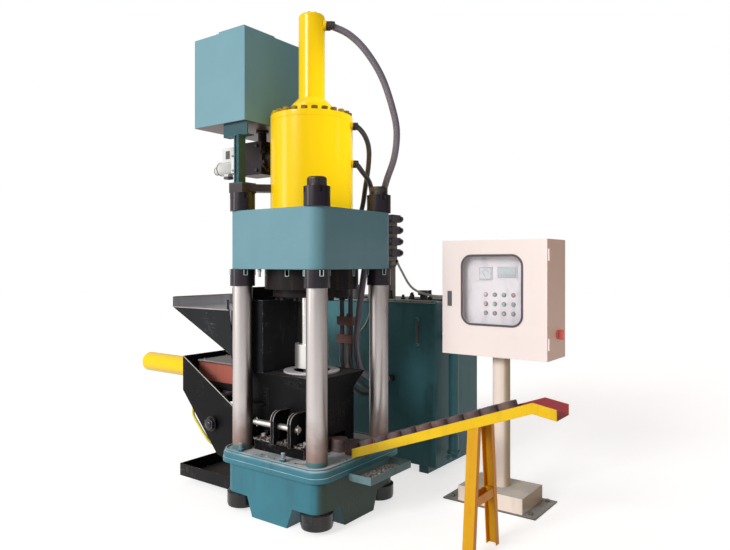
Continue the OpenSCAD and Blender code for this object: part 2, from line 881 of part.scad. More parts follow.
// One welded support: a cap plate over a column, an arm to the cylinder, a grooved strut and a
// channel bar under the edge of the tank
module tank_support() {
    cap_z = column_top + 0.3;
    strut_z0 = support_z + support_plate_h + cap_plate_t;
    strut_z1 = prefill_z - cross_bar_h;
    bar_front = min(bar_y0, bar_y1 - 60);
    arm_len = column_spacing / sqrt(2) - cylinder_d / 2 + 30;
    difference() {
        union() {
            block([-col - 62, -col - 62, support_z], [-col + 62, -col + 62, strut_z0]);
            translate([-col, -col, 0]) rotate(45)
                block([0, -45, support_z + 8], [arm_len, 45, support_z + support_plate_h]);
            block([-col - strut_x, -col + strut_y0, strut_z0 - cut],
                [-col, -col + strut_y1, strut_z1 + cut]);
            block([bar_x0, bar_front, strut_z1], [bar_x1, max(bar_y1, -col + strut_y1), prefill_z]);
        }
        translate([-col, -col, 0]) bar_z(support_z - cut, cap_z, neck_d + 2 * fix_gap);
        bar_z(support_z - cut, prefill_z + cut, cylinder_d + 2 * fix_gap);
        for (y = [strut_y0 - cut, strut_y1 - strut_groove])
            block([-col - strut_x + 10, -col + y, strut_z0 + 8],
                [-col - 10, -col + y + strut_groove + cut, strut_z1 - 8]);
        block([bar_x0 - 1, bar_front + bar_wall, strut_z1 + bar_wall],
            [bar_x1 + 1, max(bar_y1, -col + strut_y1) + 1, prefill_z - bar_wall]);
    }
}

// Front and rear supports of the prefill tank
module tank_supports() {
    color(teal) {
        tank_support();
        mirror([0, 1, 0]) tank_support();
    }
}

// Prefill valve on the side of the cylinder, with its suction pipe up to the tank
module prefill_valve() {
    color("#3a2a28") difference() {
        union() {
            block([valve_x0, -82, valve_z - 115], [valve_x1, 82, valve_z + 115]);
            bar_x(valve_x1 - cut, -cylinder_d / 2 + 40, 150, 0, valve_z);
            bar_x(valve_x1, valve_x1 + 24, 200, 0, valve_z);
            bar_z(valve_z + 114, prefill_z, 60, suction_x, 0);
            bar_z(prefill_z - 14, prefill_z, 90, suction_x, 0);
        }
        bar_z(valve_z - 300, valve_z + 300, cylinder_d + 0.6);
        bar_z(valve_z, prefill_z + cut, 46, suction_x, 0);
        bar_x(suction_x - 30, -cylinder_d / 2 + 41, 90, 0, valve_z);
    }
}

// Control block on the outer end of the prefill valve, with its pilot valve, solenoid and plug
module valve_actuator() {
    pilot_x0 = valve_x0 - 240;
    solenoid_x0 = valve_x0 - 286;
    color("#c8c2c6") {
        block([valve_x0 - 118, -60, valve_z - 80], [valve_x0, 60, valve_z + 60]);
        block([pilot_x0, -34, valve_z + 7], [valve_x0 - 117, 34, valve_z + 112]);
        bar_x(solenoid_x0, valve_x0 - 117, 100, 0, valve_z - 33);
        bar_x(solenoid_x0 - 54, solenoid_x0 + 1, 62, 0, valve_z - 43);
        block([pilot_x0 + 5, -24, valve_z - 110], [pilot_x0 + 50, 24, valve_z - 75]);
    }
}

// ---- power unit ----------------------------------------------------------------------------

// Welded oil tank with its top plate, feet and a sight gauge boss
module power_tank() {
    color(dark_teal) difference() {
        union() {
            block([oil_x0, oil_y0, oil_feet], [oil_x1, oil_y1, oil_h - 12]);
            block([oil_x0 - 10, oil_y0 - 10, oil_h - 12], [oil_x1 + 10, oil_y1 + 10, oil_h]);
            for (x = [oil_x0 + 80, oil_x1 - 160])
                block([x, oil_y0 + 20, 0], [x + 80, oil_y1 - 20, oil_feet]);
            for (z = [oil_h * 0.75, oil_h * 0.9])
                bar_y(oil_y0 - 26, oil_y0 + 2, 26, 229, z);
        }
        block([oil_x0 + 6, oil_y0 + 6, oil_feet + 6], [oil_x1 - 6, oil_y1 - 6, oil_h - 12]);
    }
}

// Valve manifold on a stand over the tank, with its pressure pipe
module valve_manifold() {
    x1 = manifold_x + 200;
    y1 = manifold_y + 160;
    color(grey) {
        block([manifold_x, manifold_y, manifold_z], [x1, y1, manifold_z + 390]);
        bar_z(oil_h, manifold_z, 38, x1 + 18, manifold_y + 70);
        bar_z(manifold_z - 30, manifold_z + 14, 52, x1 + 18, manifold_y + 70);
        block([x1 - 20, manifold_y + 40, manifold_z - 16], [x1 + 50, manifold_y + 100, manifold_z + 10]);
        block([manifold_x + 10, manifold_y + 10, oil_h], [manifold_x + 22, y1 - 10, manifold_z]);
        block([x1 - 22, manifold_y + 10, oil_h], [x1 - 10, y1 - 10, manifold_z]);
    }
}

// Four solenoid valves stacked on the side of the manifold
module solenoid_valves() {
    x1 = manifold_x + 200;
    for (i = [0 : 3]) {
        z = manifold_z + 50 + i * 92;
        color(black) {
            block([x1, manifold_y + 20, z], [x1 + 44, manifold_y + 140, z + 62]);
            bar_y(manifold_y - 50, manifold_y + 21, 50, x1 + 26, z + 31);
            bar_y(manifold_y + 139, manifold_y + 170, 50, x1 + 26, z + 31);
        }
    }
}

// Electric motor on its base rails
module electric_motor() {
    x0 = pump_x - 640;
    x1 = pump_x - 230;
    color(dark_teal) difference() {
        union() {
            bar_x(x0, x1, 320, motor_y, motor_z);
            bar_x(x1 - 1, x1 + 22, 350, motor_y, motor_z);
            bar_x(x0 - 60, x0 + 1, 300, motor_y, motor_z);
            for (k = [0 : 23]) rotate_about_motor(k * 15)
                block([x0 + 30, motor_y - 3, motor_z + 150], [x1 - 30, motor_y + 3, motor_z + 178]);
            for (s = [-1, 1]) {
                y = motor_y + s * 120;
                block([x0 + 40, y - 30, motor_z - 220], [x1 - 40, y + 30, motor_z - 90]);
                block([x0 - 70, y - 40, 0], [pump_x + 180, y + 40, motor_z - 220]);
            }
            block([x0 + 110, motor_y - 70, motor_z + 150], [x0 + 250, motor_y + 70, motor_z + 215]);
        }
        bar_x(x1 - 100, x1 + 23, 48 + 2 * run_gap, motor_y, motor_z);
    }
}

// Turns its children about the motor's axis
module rotate_about_motor(a) {
    translate([0, motor_y, motor_z]) rotate([a, 0, 0]) translate([0, -motor_y, -motor_z]) children();
}

// Motor shaft with the coupling that turns the pump
module motor_coupling() {
    x1 = pump_x - 230;
    color(steel) {
        bar_x(x1 - 90, pump_x - 60, 48, motor_y, motor_z);
        bar_x(x1 + 50, x1 + 150, 120, motor_y, motor_z);
    }
}

// Oil pump with its bell housing and the suction pipe into the tank
module oil_pump() {
    x1 = pump_x - 230;
    color(black) difference() {
        union() {
            bar_x(x1 + 22, pump_x - 30, 250, motor_y, motor_z);
            bar_x(pump_x - 30, pump_x + 150, 170, motor_y, motor_z);
            bar_x(pump_x + 149, oil_x0, 76, motor_y, motor_z);
            bar_x(oil_x0 - 18, oil_x0, 140, motor_y, motor_z);
            block([pump_x - 28, motor_y - 150, motor_z - 220], [pump_x + 2, motor_y + 150, motor_z]);
        }
        bar_x(x1 + 21, pump_x - 50, 220, motor_y, motor_z);
        bar_x(pump_x - 51, pump_x + 20, 48 + 2 * run_gap, motor_y, motor_z);
        block([x1 + 50, motor_y - 60, motor_z], [pump_x - 80, motor_y + 60, motor_z + 140]);
    }
}

// Tube oil cooler clamped to the side of the tank
module oil_cooler() {
    z0 = 130;
    z1 = oil_h - 60;
    color(dark_teal) {
        bar_z(z0, z1, cooler_d, cooler_x, cooler_y);
        for (z = [z0 + 30, z1 - 55]) bar_z(z, z + 20, cooler_d + 24, cooler_x, cooler_y);
        for (z = [z0 + 180, z1 - 220])
            block([oil_x1, cooler_y - 48, z], [cooler_x + 46, cooler_y + 48, z + 40]);
        bar_y(cooler_y - 90, cooler_y, 30, cooler_x, z0 + 18);
    }
}

// ---- cabinet -------------------------------------------------------------------------------

// Sheet-metal cabinet body, open at the front, with the lower half and the pin of each hinge
module cabinet_body() {
    y0 = cab_y0 + door_t + door_gap;
    color(cream) {
        difference() {
            block([cab_x0, y0, cabinet_z], [cab_x1, cab_y1, cab_z1]);
            block([cab_x0 + cab_sheet, y0 + cab_sheet, cabinet_z + cab_sheet],
                [cab_x1 - cab_sheet, cab_y1 - cab_sheet, cab_z1 - cab_sheet]);
            block([cab_x0 + 22, y0 - cut, cabinet_z + 22], [cab_x1 - 22, y0 + 3, cab_z1 - 22]);
            bar_x(cab_x1 - 10, cab_x1 + cut, isolator_shaft_d + 2 * run_gap, isolator_y, isolator_z);
        }
        for (z = hinge_zs) {
            bar_z(z - hinge_len, z, hinge_d, hinge_x, hinge_y);
            block([cab_x1 + 0.5, hinge_y, z - hinge_len], [cab_x1 + 4, y0 + 26, z]);
            block([cab_x1 - cut, y0 + 2, z - hinge_len], [cab_x1 + 1, y0 + 26, z]);
            bar_z(z - 1, z + hinge_len, hinge_pin_d, hinge_x, hinge_y);
        }
    }
}

// Outline of the window, grown by g all round, as an opening through the door
module window_shape(g, y0, y1) {
    translate([window_x, y1, window_z]) rotate([90, 0, 0]) linear_extrude(height = y1 - y0)
        round_rect(window_w + 2 * g, window_h + 2 * g, window_r + g);
}

// Folded door with the window opening and the two hinge barrels on its right edge
module cabinet_door() {
    color(cream) {
        difference() {
            block([cab_x0, cab_y0, cabinet_z], [cab_x1, cab_y0 + door_t, cab_z1]);
            block([cab_x0 + 3, cab_y0 + 3, cabinet_z + 3], [cab_x1 - 3, cab_y0 + door_t + cut, cab_z1 - 3]);
            window_shape(0, cab_y0 - cut, cab_y0 + 4);
            bar_y(cab_y0 - cut, cab_y0 + 4, lock_d + 2 * run_gap, lock_x, lock_z);
        }
        for (z = hinge_zs) difference() {
            union() {
                bar_z(z + door_gap, z + hinge_len, hinge_d, hinge_x, hinge_y);
                block([cab_x1 - cut, hinge_y - 2, z + door_gap], [hinge_x, hinge_y + 2, z + hinge_len]);
            }
            bar_z(z, z + hinge_len + cut, hinge_pin_d + 2 * run_gap, hinge_x, hinge_y);
        }
    }
}

// Clear pane behind the door's opening
module door_window() {
    color("#dfe6ea") window_shape(14, cab_y0 + 3, cab_y0 + 6);
}

// Dark rubber gasket round the window
module window_gasket() {
    color("#4b4550") difference() {
        window_shape(15, cab_y0 - 5, cab_y0);
        window_shape(1, cab_y0 - 6, cab_y0 + cut);
    }
}

// Lock: a handle outside, a spindle through the door and a tongue inside
module door_lock() {
    color("#55585a") {
        bar_y(cab_y0 - 1, cab_y0 + 30, lock_d, lock_x, lock_z);
        block([lock_x - 14, cab_y0 - 9, lock_z - 50], [lock_x + 14, cab_y0 - 0.3, lock_z + 50]);
        block([lock_x - 32, cab_y0 + 26, lock_z - 10], [lock_x + 8, cab_y0 + 30, lock_z + 10]);
    }
}

// Inner panel that carries the meter, the display, the lamps and the buttons
module control_panel() {
    x0 = cab_x0 + cabinet_x * 0.14;
    x1 = cab_x1 - cabinet_x * 0.14;
    z0 = window_z - window_h * 0.58;
    z1 = window_z + window_h * 0.58;
    color("#e9e6ea") difference() {
        union() {
            block([x0, panel_y, z0], [x1, panel_y + 3, z1]);
            for (x = [x0, x1 - 20])
                block([x, panel_y + 3, z0], [x + 20, cab_y1 - cab_sheet, z0 + 20]);
            for (x = [x0, x1 - 20])
                block([x, panel_y + 3, z1 - 20], [x + 20, cab_y1 - cab_sheet, z1]);
            block([window_x - 110, panel_y - 14, window_z + 66], [window_x - 18, panel_y, window_z + 152]);
            block([window_x + 14, panel_y - 5, window_z + 68], [window_x + 156, panel_y, window_z + 156]);
        }
        for (i = [0 : 3])
            bar_y(panel_y - cut, panel_y + 4, 14 + 2 * run_gap, button_x0 + i * button_dx, button_z);
    }
}

// Eight fixed lamps, a row above and a row below the buttons
module indicator_lamps() {
    for (i = [0 : 3], s = [-1, 1]) {
        x = button_x0 + i * button_dx;
        z = button_z + s * button_dz;
        color(s > 0 ? "#7fb79a" : red) {
            bar_y(panel_y - 6, panel_y, button_d + 8, x, z);
            bar_y(panel_y - 15, panel_y - 6, button_d, x, z);
        }
    }
}

// One push button, number i from the left
module push_button(i) {
    x = button_x0 + i * button_dx;
    color(i == 0 ? red : "#3e8f74") {
        bar_y(panel_y - 16, panel_y - 8, button_d, x, button_z);
        bar_y(panel_y - 9, panel_y + 26, 14, x, button_z);
    }
}

// Red handle of the main isolator on the side of the cabinet
module isolator_handle() {
    color(red) {
        bar_x(cab_x1 - 24, cab_x1 + 5, isolator_shaft_d, isolator_y, isolator_z);
        bar_x(cab_x1 + 0.3, cab_x1 + 14, 58, isolator_y, isolator_z);
        block([cab_x1 + 13, isolator_y - 9, isolator_z - 32], [cab_x1 + 40, isolator_y + 9, isolator_z + 32]);
    }
}

// Pedestal: a floor plate, a box on it and the post that carries the cabinet
module pedestal() {
    plate_x0 = post_x - 342;
    color(cream) {
        block([plate_x0, cab_y0 - 30, 0], [plate_x0 + 655, cab_y0 + 355, 10]);
        block([plate_x0 + 113, cab_y0 - 24, 10], [plate_x0 + 567, cab_y0 + 315, pedestal_box_h]);
        difference() {
            bar_z(pedestal_box_h, cabinet_z, post_d, post_x, post_y);
            bar_z(pedestal_box_h + 20, cabinet_z - 20, post_d - 10, post_x, post_y);
        }
        block([post_x - 90, post_y - 90, cabinet_z - 8], [post_x + 90, post_y + 90, cabinet_z]);
    }
}

// ---- hoses ---------------------------------------------------------------------------------

fast_port_z = fast_top - 75;
hose_y = beam_half + 50;
clamp_y = hose_y + 22;

// Thick hose from the side of the fast cylinder, over the beam and down behind it to the tank
module fast_hose() {
    color(grey) swept(spline([
        [fast_d / 2 - 4, 36, fast_port_z], [fast_d / 2 + 38, 64, fast_port_z - 6], [200, 150, 3119],
        [277, 230, 3017], [345, 320, 2851], [386, 390, 2642], [388, 436, 2492], [351, 460, 2326],
        [284, 460, 2164], [216, 450, 1940], [136, 446, 1680], [98, 432, 1440], [68, 426, 1200],
        [46, 430, 1000], [34, 500, 830], [20, 660, 740], [4, 820, 706], [0, oil_y0, 700]
    ], 2), fast_hose_d, 10, [1, 1, 0.2]);
}

// Hose from the top of the main cylinder, down behind the beam and past the clamps to the tank
module cylinder_hose() {
    a = cylinder_d / 2 * cos(22) - 3;
    b = cylinder_d / 2 * sin(22) - 3;
    color(black) swept(spline([
        [a, b, cylinder_top - 30], [a + 34, b + 26, cylinder_top - 34], [298, 190, 2440],
        [268, 276, 2370], [218, 340, 2264], [155, 390, 2128], [95, 432, 1987], [20, hose_y, 1800],
        [-60, hose_y, 1620], [-93, hose_y, 1400], [-93, hose_y, 1230], [-93, hose_y, 1010],
        [-93, hose_y, 880], [-115, 530, 720], [-160, 760, 590], [-180, oil_y0, 560]
    ], 2), hose_d, 8, [1, 1, 0.2]);
}

// Hose from the side of the main cylinder, beside the other one
module side_hose() {
    a = cylinder_d / 2 * cos(24) - 3;
    b = cylinder_d / 2 * sin(24) - 3;
    color(black) swept(spline([
        [a, b, 2250], [a + 28, b + 24, 2246], [262, 210, 2208], [250, 290, 2166],
        [222, 366, 2118], [190, 414, 2040], [130, 434, 1900], [54, hose_y, 1700],
        [-4, hose_y, 1500], [-14, hose_y, 1380], [-14, hose_y, 1230], [-14, hose_y, 1010],
        [-14, hose_y, 880], [-26, 530, 740], [-52, 760, 625], [-70, oil_y0, 600]
    ], 2), hose_d, 8, [1, 1, 0.2]);
}

// Yellow hose from the rear of the ejector cylinder, looped down and back to the oil tank
module ejector_hose() {
    z1 = eject_z + eject_barrel_d / 2 + 14;
    color(yellow) swept(spline([
        [eject_x0 + 30, 0, z1], [eject_x0 + 22, -10, z1 + 42], [-985, -60, 620], [-1056, -104, 560],
        [-1080, -110, 470], [-1020, -105, 390], [-965, -100, 330], [-900, -70, 262],
        [-800, 20, 236], [-700, 180, 225], [-660, 420, 220], [-680, 700, 250], [-700, oil_y0, 280]
    ], 2), ejector_hose_d, 8, [1, -1, 0.6]);
}

// Control cable from the manifold to the back of the cabinet
module cabinet_cable() {
    color("#b8bdb8") swept(spline([
        [manifold_x + 243, manifold_y + 80, manifold_z + 24], [10, 1070, manifold_z - 60],
        [160, 1010, oil_h + 100], [380, 985, oil_h + 50], [600, 1000, oil_h + 80],
        [700, 1000, oil_h + 116], [720, cab_y1, oil_h + 120]
    ], 2), 18, 8, [0.2, 1, 0.4]);
}

// Two clamp blocks round the hoses, on a flat post behind them
module hose_clamps() {
    color("#a4502c") difference() {
        for (z = [1020, 1150]) block([-122, hose_y - 24, z], [14, clamp_y, z + 62]);
        for (x = [-93, -14]) bar_z(900, 1400, hose_d + 0.8, x, hose_y);
    }
    color(black) {
        block([-70, clamp_y, 0], [-38, clamp_y + 12, 1230]);
        block([-104, clamp_y - 20, 0], [-4, clamp_y + 60, 10]);
    }
}

// ---- whole model ---------------------------------------------------------------------------

base_casting();
columns();
column_nuts();
top_beam();
main_cylinder();
cylinder_ring_nut();
gland_flange();
gland_bolts();
cover_bolts();
fast_cylinder();
main_plunger();
punch();
guide_ring();
die_housing();
die_sleeve();
clamp_block();
clamp_shaft();
hopper();
feed_frame();
feed_trough();
trough_lid();
feed_pusher();
feed_cylinder();
ejector_slide();
ejector_cylinder();
oil_tray();
drip_tray();
chute_channel();
chute_stand();
chute_briquettes();
prefill_tank();
tank_supports();
prefill_valve();
valve_actuator();
power_tank();
valve_manifold();
solenoid_valves();
electric_motor();
motor_coupling();
oil_pump();
oil_cooler();
cabinet_body();
cabinet_door();
door_window();
window_gasket();
door_lock();
control_panel();
isolator_handle();
pedestal();
indicator_lamps();
push_button(0);  // push_button_1
push_button(1);  // push_button_2
push_button(2);  // push_button_3
push_button(3);  // push_button_4
fast_hose();
cylinder_hose();
side_hose();
ejector_hose();
cabinet_cable();
hose_clamps();
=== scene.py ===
"""Looks of a vertical briquetting press: finishes, hoses and fine detail round the fixed frame.

Metres, +Z up. The origin is on the floor under the axis of the press, +X is the way the
briquettes leave and -Y is the operator's side.
"""

import json
import logging
import math
import random
from collections.abc import Callable, Iterable, Sequence
from dataclasses import dataclass, field, replace
from enum import Enum
from itertools import product

import bmesh
import bpy
from mathutils import Matrix, Vector, noise

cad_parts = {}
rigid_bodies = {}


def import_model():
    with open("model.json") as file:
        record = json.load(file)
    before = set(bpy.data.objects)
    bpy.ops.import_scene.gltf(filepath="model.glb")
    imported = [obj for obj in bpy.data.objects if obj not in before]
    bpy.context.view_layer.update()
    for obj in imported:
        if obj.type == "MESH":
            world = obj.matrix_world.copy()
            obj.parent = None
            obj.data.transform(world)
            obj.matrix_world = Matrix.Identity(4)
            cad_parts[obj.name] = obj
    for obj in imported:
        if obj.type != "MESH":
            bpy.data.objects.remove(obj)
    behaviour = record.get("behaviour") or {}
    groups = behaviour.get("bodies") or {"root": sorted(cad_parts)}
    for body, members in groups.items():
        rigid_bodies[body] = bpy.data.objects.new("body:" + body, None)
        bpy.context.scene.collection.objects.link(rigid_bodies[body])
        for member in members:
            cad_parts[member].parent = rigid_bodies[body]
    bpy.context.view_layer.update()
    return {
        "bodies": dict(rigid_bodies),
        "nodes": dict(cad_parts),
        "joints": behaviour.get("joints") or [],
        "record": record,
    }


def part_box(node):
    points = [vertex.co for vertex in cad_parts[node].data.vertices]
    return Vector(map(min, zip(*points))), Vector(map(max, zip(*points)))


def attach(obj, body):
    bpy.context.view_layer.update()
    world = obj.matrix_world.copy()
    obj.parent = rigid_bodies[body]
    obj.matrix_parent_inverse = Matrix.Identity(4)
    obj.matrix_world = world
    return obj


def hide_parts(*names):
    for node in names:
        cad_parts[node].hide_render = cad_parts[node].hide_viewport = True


LOG = logging.getLogger("briquetting_press")

Colour = tuple[float, float, float]
Pair = tuple[float, float]
Point = tuple[float, float, float]
Socket = bpy.types.NodeSocket


def srgb(red: int, green: int, blue: int) -> Colour:
    """Returns the linear colour of three display values from 0 to 255."""
    shares = (red / 255, green / 255, blue / 255)
    return tuple(c / 12.92 if c <= 0.04045 else ((c + 0.055) / 1.055) ** 2.4 for c in shares)


# ---- node graphs -----------------------------------------------------------------------------

class Graph:
    """Places and links the nodes of one material or node group."""

    def __init__(self, tree: bpy.types.NodeTree) -> None:
        """Starts on a node tree.

        Args:
            tree: the tree that the nodes go into.
        """
        self.tree = tree
        self.shader: bpy.types.Node | None = None
        self._coords: Socket | None = None

    def node(self, kind: str, values: dict | None = None, **settings: object) -> bpy.types.Node:
        """Adds a node.

        Args:
            kind: Blender's name of the node type.
            values: a number, colour or socket for each named or numbered input.
            settings: the node's own properties.

        Returns:
            The new node.
        """
        made = self.tree.nodes.new(kind)
        for name, value in settings.items():
            setattr(made, name, value)
        for name, value in (values or {}).items():
            self.feed(made.inputs[name], value)
        return made

    def feed(self, target: Socket, value: object) -> None:
        """Links a socket to an input, or sets the input's own value.

        Args:
            target: the input.
            value: a socket, a number, a vector or a colour.
        """
        if isinstance(value, bpy.types.NodeSocket):
            self.tree.links.new(value, target)
        elif isinstance(value, tuple) and target.type == "RGBA" and len(value) == 3:
            target.default_value = (*value, 1.0)
        else:
            target.default_value = value

    def shade(self, **values: object) -> None:
        """Feeds inputs of the material's shader, with _ for a space in their names."""
        for name, value in values.items():
            self.feed(self.shader.inputs[name.replace("_", " ")], value)

    def bump(self, height: Socket, depth: float, normal: Socket | None = None) -> None:
        """Feeds the shader's normal from a height.

        Args:
            height: the height's socket.
            depth: the bump's depth in metres.
            normal: the normal under the bump, or None.
        """
        made = self.node("ShaderNodeBump", {"Strength": 1.0, "Distance": depth, "Height": height})
        if normal is not None:
            self.feed(made.inputs["Normal"], normal)
        self.shade(Normal=made.outputs[0])

    def coords(self) -> Socket:
        """Finds the Object coordinates of the piece.

        Returns:
            Their socket, made at its first use.
        """
        if self._coords is None:
            self._coords = self.node("ShaderNodeTexCoord").outputs["Object"]
        return self._coords

    def math(self, operation: str, a: object, b: object = 0.0, clamp: bool = False) -> Socket:
        """Adds a Math node.

        Args:
            operation: Blender's name of the operation.
            a: the first value or socket.
            b: the second value or socket.
            clamp: whether the result is kept from 0 to 1.

        Returns:
            The result's socket.
        """
        made = self.node("ShaderNodeMath", {0: a, 1: b}, operation=operation, use_clamp=clamp)
        return made.outputs[0]

    def times(self, a: object, b: object, clamp: bool = False) -> Socket:
        """Returns the product of two values or sockets."""
        return self.math("MULTIPLY", a, b, clamp)

    def plus(self, a: object, b: object, clamp: bool = False) -> Socket:
        """Returns the sum of two values or sockets."""
        return self.math("ADD", a, b, clamp)

    def mix(self, factor: object, a: object, b: object) -> Socket:
        """Mixes two colours.

        Args:
            factor: the share of the second colour.
            a: the first colour.
            b: the second colour.

        Returns:
            The mixed colour's socket.
        """
        made = self.node("ShaderNodeMix", data_type="RGBA")
        self.feed(made.inputs[0], factor)
        self.feed(made.inputs[6], a)
        self.feed(made.inputs[7], b)
        return made.outputs[2]

    def smooth(self, value: object, low: object, high: object, to: tuple = (0.0, 1.0)) -> Socket:
        """Maps a value smoothly from one range to another.

        Args:
            value: the value's socket.
            low: where the range starts.
            high: where the range ends.
            to: what the two ends become.

        Returns:
            The mapped value's socket.
        """
        made = self.node(
            "ShaderNodeMapRange",
            {0: value, 1: low, 2: high, 3: to[0], 4: to[1]},
            interpolation_type="SMOOTHSTEP",
        )
        return made.outputs[0]

    def vector_math(self, operation: str, a: object, b: object) -> bpy.types.Node:
        """Returns a Vector Math node on two vectors."""
        return self.node("ShaderNodeVectorMath", {0: a, 1: b}, operation=operation)

    def normal(self) -> Socket:
        """Returns the surface's normal."""
        return self.node("ShaderNodeNewGeometry").outputs["Normal"]

    def noise(
        self, scale: object, detail: float, rough: float, stretch: Point | None = None, warp: float = 0.0
    ) -> Socket:
        """Adds a Noise Texture on the Object coordinates.

        Args:
            scale: the pattern's scale.
            detail: how many octaves it has.
            rough: how strong the fine octaves are.
            stretch: a factor on each axis, or None.
            warp: how far the pattern is distorted.

        Returns:
            The pattern's value socket.
        """
        where = self.coords()
        if stretch is not None:
            where = self.vector_math("MULTIPLY", where, stretch).outputs[0]
        values = {"Vector": where, "Scale": scale, "Detail": detail, "Roughness": rough, "Distortion": warp}
        return self.node("ShaderNodeTexNoise", values).outputs[0]

    def axis(self, letter: str, vector: Socket | None = None) -> Socket:
        """Returns one component of a vector, or of the Object coordinates."""
        split = self.node("ShaderNodeSeparateXYZ", {0: vector or self.coords()})
        return split.outputs[letter]


class Effect(Enum):
    """Shader node groups that the finishes share."""

    EDGE_MASK = "Edge Mask"
    SETTLED_DUST = "Settled Dust"
    RUN_STREAKS = "Run Streaks"
    SURFACE_GRAIN = "Surface Grain"
    SCRATCHES = "Scratches"
    LEVEL_BAND = "Level Band"


@dataclass
class EffectLibrary:
    """Builds each shared node group once and places it in materials."""

    made: dict[Effect, bpy.types.NodeTree] = field(default_factory=dict)

    def place(self, graph: Graph, effect: Effect, **values: object) -> bpy.types.Node:
        """Places an effect in a material.

        Args:
            graph: the material's graph.
            effect: which effect.
            values: a value or socket for each input, with _ for a space.

        Returns:
            The group node.
        """
        if effect not in self.made:
            self.made[effect] = self._build(effect)
        group = graph.node("ShaderNodeGroup", node_tree=self.made[effect])
        for name, value in values.items():
            graph.feed(group.inputs[name.replace("_", " ")], value)
        return group

    def _build(self, effect: Effect) -> bpy.types.NodeTree:
        """Builds the node group of an effect.

        Args:
            effect: which effect.

        Returns:
            The new node group.
        """
        makers: dict[Effect, Callable[[], bpy.types.NodeTree]] = {
            Effect.EDGE_MASK: self._edge_mask,
            Effect.SETTLED_DUST: self._settled_dust,
            Effect.RUN_STREAKS: self._run_streaks,
            Effect.SURFACE_GRAIN: self._surface_grain,
            Effect.SCRATCHES: self._scratches,
            Effect.LEVEL_BAND: self._level_band,
        }
        return makers[effect]()

    @staticmethod
    def _start(
        effect: Effect, inputs: dict[str, float], outputs: dict[str, str]
    ) -> tuple[Graph, bpy.types.Node, bpy.types.Node]:
        """Starts a node group with named sockets.

        Args:
            effect: the effect that the group is for.
            inputs: the value of each input.
            outputs: the socket type of each output.

        Returns:
            The group's graph, its input node and its output node.
        """
        tree = bpy.data.node_groups.new(effect.value, "ShaderNodeTree")
        for name, value in inputs.items():
            made = tree.interface.new_socket(name=name, in_out="INPUT", socket_type="NodeSocketFloat")
            made.default_value = value
        for name, kind in outputs.items():
            tree.interface.new_socket(name=name, in_out="OUTPUT", socket_type=kind)
        graph = Graph(tree)
        return graph, graph.node("NodeGroupInput"), graph.node("NodeGroupOutput")

    def _edge_mask(self) -> bpy.types.NodeTree:
        """Builds a group that finds edges, breaks them up, and rounds the normal over them.

        Returns:
            The group.
        """
        graph, given, out = self._start(
            Effect.EDGE_MASK,
            {"Radius": 0.004, "Amount": 0.5, "Scale": 14.0},
            {"Mask": "NodeSocketFloat", "Normal": "NodeSocketVector"},
        )
        rounded = graph.node("ShaderNodeBevel", {"Radius": given.outputs["Radius"]}, samples=5)
        dot = graph.vector_math("DOT_PRODUCT", rounded.outputs[0], graph.normal())
        edge = graph.smooth(dot.outputs["Value"], 0.995, 0.86)
        patches = graph.noise(given.outputs["Scale"], 6.0, 0.7)
        low = graph.math("SUBTRACT", 0.78, graph.times(given.outputs["Amount"], 0.45))
        high = graph.plus(low, 0.12)
        worn = graph.times(edge, graph.smooth(patches, low, high), clamp=True)
        graph.feed(out.inputs["Mask"], worn)
        graph.feed(out.inputs["Normal"], rounded.outputs[0])
        return graph.tree

    def _settled_dust(self) -> bpy.types.NodeTree:
        """Builds a group that lays dust on what faces up, and a thin haze elsewhere.

        Returns:
            The group.
        """
        graph, given, out = self._start(
            Effect.SETTLED_DUST, {"Amount": 0.5, "Haze": 0.1, "Scale": 6.0}, {"Mask": "NodeSocketFloat"}
        )
        up = graph.axis("Z", graph.normal())
        lying = graph.times(graph.smooth(up, 0.35, 0.95), given.outputs["Amount"])
        total = graph.plus(lying, given.outputs["Haze"])
        cover = graph.smooth(graph.noise(given.outputs["Scale"], 7.0, 0.62), 0.25, 0.72, (0.35, 1.0))
        graph.feed(out.inputs["Mask"], graph.times(total, cover, clamp=True))
        return graph.tree

    def _run_streaks(self) -> bpy.types.NodeTree:
        """Builds a group of soft streaks that run down.

        Returns:
            The group.
        """
        graph, given, out = self._start(
            Effect.RUN_STREAKS, {"Scale": 16.0, "Fineness": 0.5}, {"Mask": "NodeSocketFloat"}
        )
        runs = graph.noise(given.outputs["Scale"], 5.0, given.outputs["Fineness"], (1.0, 1.0, 0.07), 0.3)
        breaks = graph.noise(3.5, 4.0, 0.6)
        both = graph.times(graph.smooth(runs, 0.48, 0.72), graph.smooth(breaks, 0.36, 0.66))
        graph.feed(out.inputs["Mask"], both)
        return graph.tree

    def _surface_grain(self) -> bpy.types.NodeTree:
        """Builds a group with the height of a painted or cast surface.

        Returns:
            The group.
        """
        graph, given, out = self._start(
            Effect.SURFACE_GRAIN,
            {"Fine": 240.0, "Coarse": 9.0, "Waviness": 0.6},
            {"Height": "NodeSocketFloat"},
        )
        fine = graph.noise(given.outputs["Fine"], 3.0, 0.5)
        coarse = graph.noise(given.outputs["Coarse"], 3.0, 0.5)
        wavy = graph.times(coarse, given.outputs["Waviness"])
        graph.feed(out.inputs["Height"], graph.plus(graph.times(fine, 0.35), wavy))
        return graph.tree

